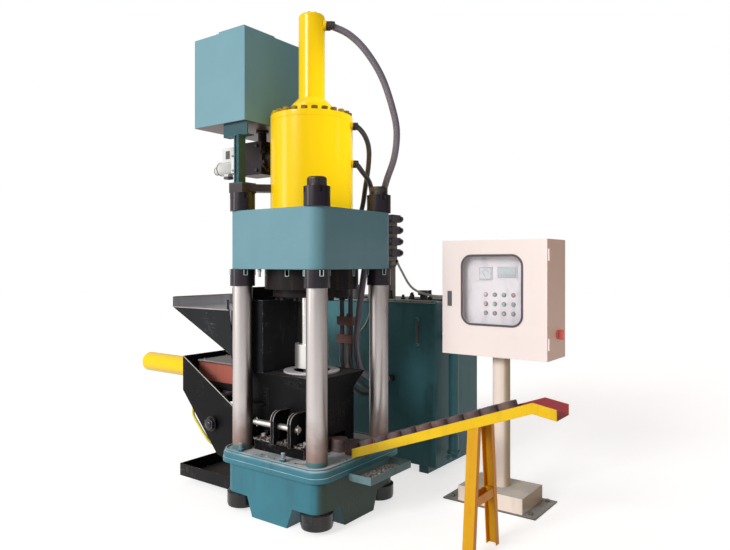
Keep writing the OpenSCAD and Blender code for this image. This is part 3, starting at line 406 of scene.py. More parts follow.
    def _scratches(self) -> bpy.types.NodeTree:
        """Builds a group of thin scratches in two directions.

        Returns:
            The group.
        """
        graph, given, out = self._start(Effect.SCRATCHES, {"Scale": 5.0}, {"Mask": "NodeSocketFloat"})
        masks = []
        for stretch in ((9.0, 9.0, 0.7), (0.8, 7.0, 10.0)):
            lines = graph.noise(given.outputs["Scale"], 2.0, 0.4, stretch, 0.6)
            near = graph.math("ABSOLUTE", graph.math("SUBTRACT", lines, 0.5))
            masks.append(graph.smooth(near, 0.006, 0.0))
        gaps = graph.smooth(graph.noise(4.0, 3.0, 0.6), 0.5, 0.64)
        either = graph.math("MAXIMUM", masks[0], masks[1])
        graph.feed(out.inputs["Mask"], graph.times(either, gaps, clamp=True))
        return graph.tree

    def _level_band(self) -> bpy.types.NodeTree:
        """Builds a group that fades from 1 at one height to 0 at another, with a ragged edge.

        Returns:
            The group.
        """
        graph, given, out = self._start(
            Effect.LEVEL_BAND, {"Full": 0.0, "Gone": 0.5, "Rag": 0.05}, {"Mask": "NodeSocketFloat"}
        )
        offset = graph.math("SUBTRACT", graph.noise(11.0, 5.0, 0.6), 0.5)
        rag = graph.times(offset, given.outputs["Rag"])
        height = graph.plus(graph.axis("Z"), rag)
        graph.feed(out.inputs["Mask"], graph.smooth(height, given.outputs["Gone"], given.outputs["Full"]))
        return graph.tree


EFFECTS = EffectLibrary()


# ---- finishes --------------------------------------------------------------------------------


@dataclass(frozen=True)
class Finish:
    """What every finish has: a name, a main colour and a roughness."""

    name: str
    colour: Colour
    roughness: float = 0.4

    def material(self) -> bpy.types.Material:
        """Makes the finish's material at its first use.

        Returns:
            The material.
        """
        found = bpy.data.materials.get(self.name)
        if found is not None:
            return found
        made = bpy.data.materials.new(self.name)
        made.use_nodes = True
        made.node_tree.nodes.clear()
        graph = Graph(made.node_tree)
        graph.shader = graph.node("ShaderNodeBsdfPrincipled")
        output = graph.node("ShaderNodeOutputMaterial")
        graph.feed(output.inputs["Surface"], graph.shader.outputs["BSDF"])
        self.build(graph)
        return made

    def build(self, graph: Graph) -> None:
        """Feeds the shader. Each kind of finish has its own way."""
        raise NotImplementedError

    def darker(self) -> Colour:
        """Returns the main colour at 60 per cent."""
        return tuple(0.6 * c for c in self.colour)


@dataclass(frozen=True)
class Enamel(Finish):
    """Paint over steel, with mottling, pale edges (worn, and on some finishes a painted highlight), dust,
    runs and scratches.
    """

    mottle: Colour = (0.2, 0.2, 0.2)
    mottling: float = 0.4
    bare_and_highlight: Colour = (0.25, 0.2, 0.18)
    edge_share: float = 0.4
    edge_radius: float = 0.004
    dust: Colour = (0.35, 0.33, 0.30)
    lying: float = 0.3
    haze: float = 0.0
    runs: Colour = (0.12, 0.08, 0.06)
    streaks: float = 0.3
    scratches: float = 0.2
    coat: float = 0.0
    depth: float = 0.0006
    specular: float = 0.25
    low: Colour | None = None
    low_full: float = 0.0
    low_gone: float = 0.4
    low_rag: float = 0.05
    # side: colour of faces turned to +X below side_top, painted shade on most finishes. under: colour of
    # downward faces. inner: colour of inside faces round core, up to inner_end.
    side: Colour | None = None
    side_top: float = 9.0
    under: Colour | None = None
    inner: Colour | None = None
    core: Point = (0.0, 0.0, 0.0)
    inner_end: float = 9.0
    lining: Colour | None = None
    lining_half: float = 0.085

    def build(self, graph: Graph) -> None:
        """Feeds the shader.

        Args:
            graph: the material's graph.
        """
        graph.shade(Coat_Weight=self.coat, Coat_Roughness=0.08, Specular_IOR_Level=self.specular)
        edge = EFFECTS.place(graph, Effect.EDGE_MASK, Radius=self.edge_radius, Amount=self.edge_share)
        dust = EFFECTS.place(graph, Effect.SETTLED_DUST, Amount=self.lying, Haze=self.haze).outputs[0]
        runs = EFFECTS.place(graph, Effect.RUN_STREAKS).outputs[0]
        lines = EFFECTS.place(graph, Effect.SCRATCHES).outputs[0]
        cloud = graph.smooth(graph.noise(2.6, 6.0, 0.6, warp=0.4), 0.3, 0.7)
        colour = graph.mix(graph.times(cloud, self.mottling), self.colour, self.mottle)
        if self.lining is not None:
            colour = self._lined(graph, colour)
        colour = self._faces(graph, colour)
        if self.low is not None:
            band = EFFECTS.place(
                graph, Effect.LEVEL_BAND, Full=self.low_full, Gone=self.low_gone, Rag=self.low_rag
            )
            colour = graph.mix(band.outputs[0], colour, self.low)
        colour = graph.mix(graph.times(runs, self.streaks), colour, self.runs)
        colour = graph.mix(graph.times(lines, self.scratches), colour, self.bare_and_highlight)
        # Pale edges: worn paint, and on the teal finishes a painted highlight.
        colour = graph.mix(edge.outputs["Mask"], colour, self.bare_and_highlight)
        colour = graph.mix(dust, colour, self.dust)
        graph.shade(Base_Color=colour)
        rough = graph.plus(self.roughness, graph.times(dust, 0.35))
        rough = graph.plus(rough, graph.times(edge.outputs["Mask"], 0.15), clamp=True)
        graph.shade(Roughness=rough)
        height = EFFECTS.place(graph, Effect.SURFACE_GRAIN).outputs[0]
        graph.bump(height, self.depth, edge.outputs["Normal"])

    def _faces(self, graph: Graph, colour: Socket) -> Socket:
        """Gives the right-hand faces, the undersides and the inside other colours: the right-hand colour is
        mostly painted shade, the inner colour partly painted light.

        Args:
            graph: the material's graph.
            colour: the colour of the other faces.

        Returns:
            The colour of all faces.
        """
        normal = graph.normal()
        # Painted shade: faces turned to +X below side_top take the side colour (with real dirt on the base
        # and rust on the pedestal).
        if self.side is not None:
            right = graph.smooth(graph.axis("X", normal), 0.5, 0.9)
            below = graph.math("LESS_THAN", graph.axis("Z"), self.side_top)
            colour = graph.mix(graph.times(right, below), colour, self.side)
        if self.under is not None:
            colour = graph.mix(graph.smooth(graph.axis("Z", normal), -0.5, -0.9), colour, self.under)
        if self.inner is not None:
            out = graph.vector_math("SUBTRACT", graph.coords(), self.core).outputs[0]
            dot = graph.vector_math("DOT_PRODUCT", out, normal)
            inside = graph.math("LESS_THAN", dot.outputs["Value"], 0.0)
            bin_part = graph.math("LESS_THAN", graph.axis("X"), self.inner_end)
            colour = graph.mix(graph.times(inside, bin_part), colour, self.inner)
        return colour

    def _lined(self, graph: Graph, colour: Socket) -> Socket:
        """Paints the inside of a channel that runs along X in its own colour.

        Args:
            graph: the material's graph.
            colour: the outside's colour.

        Returns:
            The colour of both sides.
        """
        side = graph.math("LESS_THAN", graph.math("ABSOLUTE", graph.axis("Y")), self.lining_half + 0.0004)
        up = graph.axis("Z", graph.normal())
        inside = graph.times(side, graph.math("GREATER_THAN", up, -0.6))
        return graph.mix(inside, colour, self.lining)


@dataclass(frozen=True)
class BareSteel(Finish):
    """Unpainted steel, turned or rolled, with oil stains."""

    stain: Colour = (0.06, 0.04, 0.03)
    staining: float = 0.5
    worn: Colour = (0.55, 0.52, 0.49)
    dust: Colour = (0.30, 0.28, 0.26)
    metallic: float = 0.9
    edge_radius: float = 0.002
    lay: Point = (1.0, 1.0, 26.0)
    lying: float = 0.1

    def build(self, graph: Graph) -> None:
        """Feeds the shader.

        Args:
            graph: the material's graph.
        """
        edge = EFFECTS.place(graph, Effect.EDGE_MASK, Radius=self.edge_radius, Amount=0.7)
        dust = EFFECTS.place(graph, Effect.SETTLED_DUST, Amount=self.lying, Haze=0.03).outputs[0]
        cloud = graph.smooth(graph.noise(5.0, 8.0, 0.65, warp=0.5), 0.38, 0.68)
        lay = graph.noise(26.0, 4.0, 0.6, self.lay)
        colour = graph.mix(graph.times(cloud, self.staining), self.colour, self.stain)
        colour = graph.mix(graph.times(lay, 0.35), colour, self.darker())
        colour = graph.mix(edge.outputs["Mask"], colour, self.worn)
        colour = graph.mix(dust, colour, self.dust)
        graph.shade(Base_Color=colour)
        metal = graph.math("SUBTRACT", self.metallic, graph.times(cloud, 0.35), clamp=True)
        graph.shade(Metallic=metal)
        rough = graph.plus(self.roughness, graph.times(lay, 0.16), clamp=True)
        graph.shade(Roughness=rough)
        graph.bump(lay, 0.0004, edge.outputs["Normal"])


@dataclass(frozen=True)
class HardChrome(Finish):
    """Ground chrome on round columns, with a brown film of oil and rust at the foot and painted shade on the
    side turned from the front.
    """

    film: Colour = (0.30, 0.20, 0.13)
    clouded: Colour = (0.52, 0.46, 0.43)
    foot: float = 0.0
    foot_gone: float = 0.5
    dark_above: float = 99.0
    dark: Colour = (0.13, 0.10, 0.09)
    spray: Colour = (0.20, 0.30, 0.30)
    spray_top: float = 0.0
    # Painted shade: how much the side turned from the front darkens toward shade_colour.
    shade: float = 0.62
    shade_colour: Colour = (0.09, 0.075, 0.07)

    def build(self, graph: Graph) -> None:
        """Feeds the shader.

        Args:
            graph: the material's graph.
        """
        band = EFFECTS.place(graph, Effect.LEVEL_BAND, Full=self.foot, Gone=self.foot_gone, Rag=0.2)
        runs = EFFECTS.place(graph, Effect.RUN_STREAKS, Scale=28.0).outputs[0]
        haze = graph.smooth(graph.noise(8.0, 7.0, 0.6, (1.0, 1.0, 0.35)), 0.35, 0.75)
        at_foot = graph.times(band.outputs[0], 0.75)
        dirt = graph.plus(at_foot, graph.times(runs, 0.22), clamp=True)
        colour = graph.mix(graph.times(haze, 0.22), self.colour, self.clouded)
        colour = graph.mix(dirt, colour, self.film)
        sprayed = EFFECTS.place(
            graph, Effect.LEVEL_BAND, Full=self.spray_top - 0.006, Gone=self.spray_top, Rag=0.012
        ).outputs[0]
        colour = graph.mix(sprayed, colour, self.spray)
        dirt = graph.math("MAXIMUM", dirt, sprayed)
        above = graph.math("GREATER_THAN", graph.axis("Z"), self.dark_above)
        colour = graph.mix(above, colour, self.dark)
        # Painted shade on faces turned away from -Y.
        painted_shade_mask = graph.smooth(graph.axis("Y", graph.normal()), -0.72, 0.1)
        colour = graph.mix(graph.times(painted_shade_mask, self.shade), colour, self.shade_colour)
        graph.shade(Base_Color=colour)
        metal = graph.math("SUBTRACT", 1.0, graph.times(dirt, 0.6), clamp=True)
        graph.shade(Metallic=metal)
        rough = graph.plus(self.roughness, graph.times(dirt, 0.3))
        rough = graph.plus(rough, graph.times(haze, 0.1), clamp=True)
        graph.shade(Roughness=rough)
        ground = graph.noise(90.0, 3.0, 0.5, (1.0, 1.0, 8.0))
        graph.bump(ground, 0.00008)


@dataclass(frozen=True)
class Rubber(Finish):
    """Hose cover, gasket or cable sheath, dusty, with a fine wrapped texture."""

    dust: Colour = (0.30, 0.28, 0.30)
    dusting: float = 0.35
    wrap: float = 420.0

    def build(self, graph: Graph) -> None:
        """Feeds the shader.

        Args:
            graph: the material's graph.
        """
        graph.shade(Sheen_Weight=0.1)
        settled = EFFECTS.place(graph, Effect.SETTLED_DUST, Amount=self.dusting, Haze=0.15, Scale=12.0)
        dust = settled.outputs[0]
        cloud = graph.smooth(graph.noise(16.0, 6.0, 0.6), 0.35, 0.7)
        colour = graph.mix(graph.times(cloud, 0.4), self.colour, self.darker())
        graph.shade(Base_Color=graph.mix(dust, colour, self.dust))
        rough = graph.plus(self.roughness, graph.times(dust, 0.3), clamp=True)
        graph.shade(Roughness=rough)
        graph.bump(graph.noise(self.wrap, 2.0, 0.5), 0.0004)


@dataclass(frozen=True)
class Plastic(Finish):
    """Moulded plastic, with a fine texture and a little grime."""

    grime: Colour = (0.08, 0.07, 0.07)
    grain: float = 500.0

    def build(self, graph: Graph) -> None:
        """Feeds the shader.

        Args:
            graph: the material's graph.
        """
        graph.shade(Specular_IOR_Level=0.25)
        edge = EFFECTS.place(graph, Effect.EDGE_MASK, Radius=0.0012, Amount=0.25, Scale=40.0)
        dirt = graph.smooth(graph.noise(22.0, 6.0, 0.6), 0.5, 0.8)
        colour = graph.mix(graph.times(dirt, 0.4), self.colour, self.grime)
        graph.shade(Base_Color=colour)
        rough = graph.plus(self.roughness, graph.times(dirt, 0.25), clamp=True)
        graph.shade(Roughness=rough)
        graph.bump(graph.noise(self.grain, 2.0, 0.5), 0.0001, edge.outputs["Normal"])


@dataclass(frozen=True)
class ClearPane(Finish):
    """Clear window pane with faint wipe marks."""

    def build(self, graph: Graph) -> None:
        """Feeds the shader.

        Args:
            graph: the material's graph.
        """
        graph.shade(Transmission_Weight=1.0, IOR=1.2)
        marks = graph.smooth(graph.noise(9.0, 6.0, 0.6, (1.0, 1.0, 0.4), 0.5), 0.45, 0.8)
        graph.shade(Base_Color=graph.mix(marks, self.colour, (0.80, 0.80, 0.82)))
        graph.shade(Roughness=graph.times(marks, 0.12))


@dataclass(frozen=True)
class PressedFines(Finish):
    """Briquette of pressed fines: grainy, with brown patches and faint rings."""

    patch: Colour = (0.30, 0.16, 0.12)
    gap: Colour = (0.03, 0.025, 0.025)

    def build(self, graph: Graph) -> None:
        """Feeds the shader.

        Args:
            graph: the material's graph.
        """
        cell = graph.node("ShaderNodeTexVoronoi", {"Vector": graph.coords(), "Scale": 240.0})
        flakes = cell.outputs["Distance"]
        cloud = graph.smooth(graph.noise(14.0, 7.0, 0.65), 0.4, 0.68)
        colour = graph.mix(graph.times(cloud, 0.55), self.colour, self.patch)
        colour = graph.mix(graph.smooth(flakes, 0.0, 0.55, (0.5, 0.0)), colour, self.gap)
        graph.shade(Base_Color=colour, Roughness=graph.smooth(cloud, 0.0, 1.0, (0.55, 0.8)))
        metal = graph.times(graph.math("SUBTRACT", 1.0, cloud), 0.25)
        graph.shade(Metallic=metal)
        rough_height = graph.plus(graph.times(flakes, 0.5), graph.noise(60.0, 6.0, 0.7))
        graph.bump(rough_height, 0.003)


@dataclass(frozen=True)
class StagePaper(Finish):
    """Plain pale floor that the camera sees nearly white and that keeps the shadow."""

    lift: float = 0.66

    def build(self, graph: Graph) -> None:
        """Feeds the shader.

        Args:
            graph: the material's graph.
        """
        graph.shade(Base_Color=self.colour, Roughness=self.roughness, Specular_IOR_Level=0.1)
        path = graph.node("ShaderNodeLightPath")
        seen = graph.math("MAXIMUM", path.outputs["Is Camera Ray"], path.outputs["Is Glossy Ray"])
        seen = graph.math("MAXIMUM", seen, path.outputs["Is Transmission Ray"])
        graph.shade(Emission_Color=(1.0, 1.0, 1.0, 1.0), Emission_Strength=graph.times(seen, self.lift))


# Its pale edge colour is a painted highlight along the rounded edges; the scratches show the same colour.
TEAL = Enamel(
    "teal_enamel", srgb(108, 153, 165), 0.36, mottle=srgb(98, 142, 155), bare_and_highlight=srgb(196, 214, 214),
    edge_share=0.5, edge_radius=0.005, dust=srgb(172, 184, 186), lying=0.4, runs=srgb(92, 116, 118),
    streaks=0.08, scratches=0.12,
)
# Teal lightened to near white: a painted highlight on the spanner slots' edges.
SLOT_PAINT_AND_HIGHLIGHT = replace(TEAL, name="slot_paint_and_highlight", colour=srgb(206, 226, 222), mottle=srgb(140, 186, 186))
# Its side colour, on faces turned to +X below side_top, is painted shade near the floor over real oil dirt.
BASE_TEAL = Enamel(
    "base_teal_enamel", srgb(58, 126, 142), 0.4, mottle=srgb(46, 106, 122), mottling=0.5,
    bare_and_highlight=srgb(100, 146, 154), edge_share=0.14, edge_radius=0.005, dust=srgb(214, 211, 211), lying=1.0,
    haze=0.02, runs=srgb(44, 78, 82), scratches=0.25, side=srgb(52, 72, 62), side_top=0.31,
)
# Its side colour is painted light: a bluer teal on faces turned to +X, set against the yellow cylinder's
# bounce light.
TANK_TEAL = Enamel(
    "tank_teal_enamel", srgb(122, 166, 178), 0.38, mottle=srgb(110, 154, 167),
    bare_and_highlight=srgb(172, 198, 202), edge_share=0.2, dust=srgb(190, 196, 196), lying=0.2, streaks=0.05,
    scratches=0.05, under=srgb(110, 90, 95), side=srgb(122, 174, 200),
)
# Darker than the tank's teal: painted shade from the tank above, with pale worn edges.
SHADED_SUPPORT_TEAL = Enamel(
    "support_teal_painted_shade", srgb(46, 90, 98), 0.4, mottle=srgb(36, 72, 80), mottling=0.5,
    bare_and_highlight=srgb(150, 178, 180), edge_share=0.7, dust=srgb(120, 124, 124), streaks=0.2, low=srgb(62, 54, 56),
    low_full=2.108, low_gone=2.116, low_rag=0.004,
)
DARK_TEAL = Enamel(
    "dark_teal_enamel", srgb(66, 118, 126), 0.4, mottle=srgb(52, 98, 106), mottling=0.6,
    bare_and_highlight=srgb(130, 150, 150), edge_share=0.35, dust=srgb(130, 134, 132), lying=0.5, haze=0.02,
    runs=srgb(30, 56, 56), streaks=0.5,
)
DRIP_TEAL = Enamel(
    "drip_tray_enamel", srgb(110, 142, 148), 0.5, mottle=srgb(92, 122, 128), mottling=0.5,
    bare_and_highlight=srgb(190, 194, 190), edge_share=0.6, edge_radius=0.003, dust=srgb(152, 150, 150), lying=0.95,
    haze=0.05, runs=srgb(70, 82, 80), scratches=0.3,
)
YELLOW = Enamel(
    "yellow_enamel", srgb(254, 213, 14), 0.24, mottle=srgb(250, 203, 10), mottling=0.3,
    bare_and_highlight=srgb(190, 150, 40), edge_share=0.04, dust=srgb(214, 190, 110), lying=0.08,
    runs=srgb(196, 150, 20), streaks=0.07, scratches=0.05, coat=0.25, depth=0.0005, specular=0.2,
)
CHUTE_YELLOW = Enamel(
    "chute_enamel", srgb(238, 198, 26), 0.36, mottle=srgb(226, 178, 26), bare_and_highlight=srgb(120, 66, 40),
    edge_radius=0.003, dust=srgb(150, 120, 80), lying=0.25, runs=srgb(170, 110, 30), streaks=0.25,
    scratches=0.25, low=srgb(182, 154, 40), low_full=0.44, low_gone=0.62, lining=srgb(150, 64, 72),
)
# Its side colour is painted shade: a deeper orange on faces turned to +X.
STAND_YELLOW = Enamel(
    "stand_enamel", srgb(224, 170, 22), 0.4, mottle=srgb(208, 144, 20), mottling=0.5,
    bare_and_highlight=srgb(120, 66, 40), edge_radius=0.003, dust=srgb(140, 110, 70), lying=0.2,
    runs=srgb(160, 94, 24), streaks=0.4, scratches=0.3, side=srgb(236, 150, 24),
)
BLACK = Enamel(
    "black_paint", srgb(17, 17, 19), 0.46, mottle=srgb(25, 24, 25), bare_and_highlight=srgb(178, 174, 170),
    edge_share=0.6, edge_radius=0.003, dust=srgb(92, 86, 84), lying=0.35, runs=srgb(15, 14, 14),
    scratches=0.3, specular=0.1,
)
CLAMP_BLACK = replace(BLACK, name="clamp_black", edge_share=1.0, edge_radius=0.005)
TRAY_BLACK = Enamel(
    "tray_black", srgb(22, 22, 24), 0.5, mottle=srgb(32, 28, 28), mottling=0.5,
    bare_and_highlight=srgb(190, 188, 186), edge_share=0.6, edge_radius=0.003, dust=srgb(78, 75, 74), lying=0.4,
    runs=srgb(18, 18, 19), streaks=0.4, scratches=0.5, specular=0.15,
)
# Its inner colour is bare metal inside the bin, lightened further as painted light on inner walls that get
# little light.
HOPPER_BLACK = Enamel(
    "hopper_paint", srgb(31, 34, 38), 0.46, mottle=srgb(40, 40, 43), bare_and_highlight=srgb(206, 204, 202),
    edge_share=0.75, edge_radius=0.003, dust=srgb(96, 92, 90), lying=0.25, runs=srgb(18, 18, 20),
    scratches=0.25, specular=0.12, inner=srgb(214, 216, 222), core=(-0.72, 0.0, 1.20),
    inner_end=-0.600,
)
NUT_BLACK = Enamel(
    "nut_black", srgb(37, 34, 44), 0.26, mottle=srgb(50, 42, 50), bare_and_highlight=srgb(150, 144, 142),
    edge_share=0.45, edge_radius=0.002, dust=srgb(96, 92, 96), streaks=0.2, coat=0.2,
    low=srgb(20, 19, 21), low_full=0.26, low_gone=0.31, specular=0.35,
)
WORN_LID = Enamel(
    "worn_lid", srgb(142, 142, 145), 0.5, mottle=srgb(112, 108, 108), mottling=0.6,
    bare_and_highlight=srgb(216, 214, 212), edge_share=0.8, dust=srgb(160, 154, 150), lying=0.4, haze=0.02,
    scratches=0.5,
)
# Its dark low band at the trough's foot is painted shadow along the bottom flange.
PRIMER = Enamel(
    "orange_primer", srgb(160, 102, 90), 0.6, mottle=srgb(178, 92, 78), mottling=0.8,
    bare_and_highlight=srgb(110, 100, 96), edge_share=0.5, dust=srgb(140, 112, 104), haze=0.02, runs=srgb(84, 54, 50),
    streaks=0.5, scratches=0.4, low=srgb(32, 28, 29), low_full=0.734, low_gone=0.742, low_rag=0.006,
    specular=0.15,
)
# Its side colour is painted shade: a warmer tint on faces turned to +X.
CREAM = Enamel(
    "cream_powder_coat", srgb(250, 238, 234), 0.42, mottle=srgb(246, 232, 228),
    bare_and_highlight=srgb(190, 172, 160), edge_share=0.05, edge_radius=0.003, dust=srgb(214, 200, 190), lying=0.12,
    runs=srgb(206, 184, 168), streaks=0.05, scratches=0.02, depth=0.0003, side=srgb(252, 218, 200),
)
PEDESTAL_PAINT = Enamel(
    "pedestal_paint", srgb(244, 228, 217), 0.5, mottle=srgb(230, 213, 202), mottling=0.5,
    bare_and_highlight=srgb(130, 108, 92), edge_share=0.35, dust=srgb(186, 192, 186), lying=0.85, haze=0.02,
    runs=srgb(150, 120, 96), streaks=0.35, scratches=0.25, side=srgb(190, 170, 142),
    low=srgb(102, 92, 92), low_full=0.0115, low_gone=0.0130, low_rag=0.0,
)
PANEL_WHITE = Enamel(
    "panel_white", srgb(246, 238, 240), 0.45, mottle=srgb(238, 230, 232), edge_share=0.03, lying=0.1,
    streaks=0.02, scratches=0.02, depth=0.0002,
)
VALVE_GREY = Enamel(
    "valve_grey", srgb(206, 197, 201), 0.45, mottle=srgb(178, 170, 172), mottling=0.6,
    bare_and_highlight=srgb(120, 112, 108), edge_share=0.3, dust=srgb(150, 142, 138), runs=srgb(96, 90, 88),
    streaks=0.35,
)
MANIFOLD_GREY = Enamel(
    "manifold_grey", srgb(168, 160, 152), 0.45, mottle=srgb(140, 132, 124), mottling=0.6,
    bare_and_highlight=srgb(200, 196, 190), dust=srgb(130, 122, 116), lying=0.4, haze=0.03, runs=srgb(80, 74, 70),
    streaks=0.4,
)
VALVE_BROWN = Enamel(
    "valve_brown", srgb(29, 24, 32), 0.42, mottle=srgb(56, 44, 44), mottling=0.5,
    bare_and_highlight=srgb(130, 118, 112), dust=srgb(96, 84, 82), scratches=0.25, under=srgb(96, 72, 62),
    specular=0.15,
)
HOSE_CLAMP = Enamel(
    "hose_clamp", srgb(160, 122, 114), 0.5, mottle=srgb(120, 88, 80), mottling=0.6,
    bare_and_highlight=srgb(190, 176, 168), edge_share=0.5, dust=srgb(140, 120, 112), haze=0.02, streaks=0.2,
)
GLAND_DARK = Enamel(
    "gland_dark", srgb(23, 25, 28), 0.36, mottle=srgb(52, 34, 30), mottling=0.45,
    bare_and_highlight=srgb(150, 142, 136), edge_share=0.35, edge_radius=0.002, dust=srgb(90, 84, 82), specular=0.1,
)
# Cover bolt heads: the dark base colour is painted shadow from the gaps between the heads; the yellow
# patches are their paint.
BOLT_YELLOW = Enamel(
    "yellow_bolts_with_painted_shadow", srgb(40, 34, 32), 0.4, mottle=srgb(226, 184, 20), mottling=0.75,
    bare_and_highlight=srgb(112, 60, 44), edge_share=0.5, edge_radius=0.002, dust=srgb(120, 100, 60), lying=0.2,
    streaks=0.2,
)
RING_BRIGHT = BareSteel(
    "guide_ring_steel", srgb(214, 211, 216), 0.42, stain=srgb(150, 140, 138), staining=0.35,
    metallic=0.35,
)
# Real worn steel on bolts, chips and the hopper rim; as the strips on the side plates' and lugs' edges it is
# a painted highlight.
EDGE_STEEL = BareSteel(
    "worn_and_highlight_edge", srgb(196, 192, 190), 0.4, stain=srgb(110, 100, 96), staining=0.5, metallic=0.4
)
PIPE_VIOLET = BareSteel(
    "pipe_violet", srgb(120, 112, 128), 0.4, stain=srgb(80, 72, 80), staining=0.5, metallic=0.3
)
BRIGHT_STEEL = BareSteel(
    "bright_steel", srgb(206, 202, 198), 0.24, stain=srgb(120, 104, 92), staining=0.35, metallic=1.0
)
DULL_STEEL = BareSteel(
    "dull_steel", srgb(128, 122, 116), 0.4, stain=srgb(60, 50, 44), staining=0.7, metallic=0.85,
    lay=(26.0, 1.0, 1.0),
)
FITTING_ZINC = BareSteel(
    "zinc_fittings", srgb(168, 166, 160), 0.32, stain=srgb(70, 62, 54), staining=0.6, metallic=0.95
)
BLACK_FITTING = BareSteel(
    "black_fittings", srgb(48, 46, 50), 0.34, stain=srgb(26, 24, 26), staining=0.6, metallic=0.6
)
COLUMN_CHROME = HardChrome(
    "column_chrome", srgb(206, 200, 199), 0.3, film=srgb(128, 92, 78), foot=0.42, foot_gone=0.72,
    dark_above=1.75, spray=srgb(86, 130, 132), spray_top=0.424,
)
PLUNGER_CHROME = HardChrome("plunger_chrome", srgb(226, 224, 222), 0.14, foot=0.0, foot_gone=0.1)
GREY_HOSE = Rubber("grey_hose", srgb(72, 68, 76), 0.38, dust=srgb(120, 114, 120), dusting=0.4)
FAST_HOSE = Rubber("fast_hose_cover", srgb(112, 106, 122), 0.3, dust=srgb(196, 190, 202), dusting=0.7)
YELLOW_HOSE = Rubber("yellow_hose", srgb(236, 222, 66), 0.4, dust=srgb(200, 180, 90), dusting=0.2)
PALE_CABLE = Rubber("pale_cable", srgb(198, 202, 200), 0.45, dust=srgb(150, 148, 142), dusting=0.2)
GASKET = Rubber("window_gasket", srgb(78, 70, 82), 0.5, dust=srgb(120, 114, 118), dusting=0.15)
BLACK_PLASTIC = Plastic("black_plastic", srgb(22, 22, 24), 0.5)
SOLENOID_CASE = Plastic("solenoid_case", srgb(92, 86, 98), 0.42)
RED_PLASTIC = Plastic("red_plastic", srgb(166, 48, 50), 0.3)
# Lens and cap colours are mixed about a third toward white: painted reflection of the window glass in front
# of them.
PINK_LENS = Plastic("pink_lens", srgb(244, 208, 212), 0.2, grime=srgb(214, 190, 192))
DARK_GREEN_LENS = Plastic("dark_green_lens", srgb(172, 190, 184), 0.2, grime=srgb(150, 162, 158))
GREY_GREEN_LENS = Plastic("grey_green_lens", srgb(190, 206, 198), 0.2, grime=srgb(160, 172, 166))
DARK_RED_LENS = Plastic("dark_red_lens", srgb(214, 180, 184), 0.2, grime=srgb(184, 160, 162))
GREEN_CAP = Plastic("green_cap", srgb(176, 202, 192), 0.3, grime=srgb(150, 168, 162))
RED_CAP = Plastic("red_cap", srgb(228, 182, 182), 0.3, grime=srgb(192, 160, 160))
DUSKY_LENS = Plastic("dusky_lens", srgb(206, 190, 193), 0.25, grime=srgb(178, 166, 168))
METER_FACE = Plastic("meter_face", srgb(240, 238, 240), 0.3, grime=srgb(214, 212, 214))
PALE_FRAME = Plastic("pale_frame", srgb(196, 196, 200), 0.35, grime=srgb(170, 170, 172))
DISPLAY_GREY = Plastic("display_grey", srgb(204, 212, 212), 0.25, grime=srgb(180, 190, 190))
WINDOW = ClearPane("clear_pane", (0.96, 0.97, 0.98), 0.03)
FINES = PressedFines("pressed_fines", srgb(98, 84, 86), 0.7)
PAPER = StagePaper("stage_paper", (0.55, 0.55, 0.55), 0.9)


# ---- meshes ----------------------------------------------------------------------------------

FRAME: dict = {}
UP = (0, 0, 1)
FRONT = (0, -1, 0)
SHARP_FROM = 32.0  # degrees between two faces from which an edge is rounded


def shown(name: str, data: bpy.types.ID) -> bpy.types.Object:
    """Makes an object of some data and links it to the scene.

    Args:
        name: the object's name.
        data: its mesh, curve, light or camera.

    Returns:
        The object.
    """
    made = bpy.data.objects.new(name, data)
    bpy.context.scene.collection.objects.link(made)
    return made


def facing(start: Vector, end: Vector) -> Matrix:
    """Returns the matrix that stands at the middle of a stretch with its Z along it."""
    turn = Vector((0, 0, 1)).rotation_difference((end - start).normalized()).to_matrix().to_4x4()
    return Matrix.Translation((start + end) / 2) @ turn


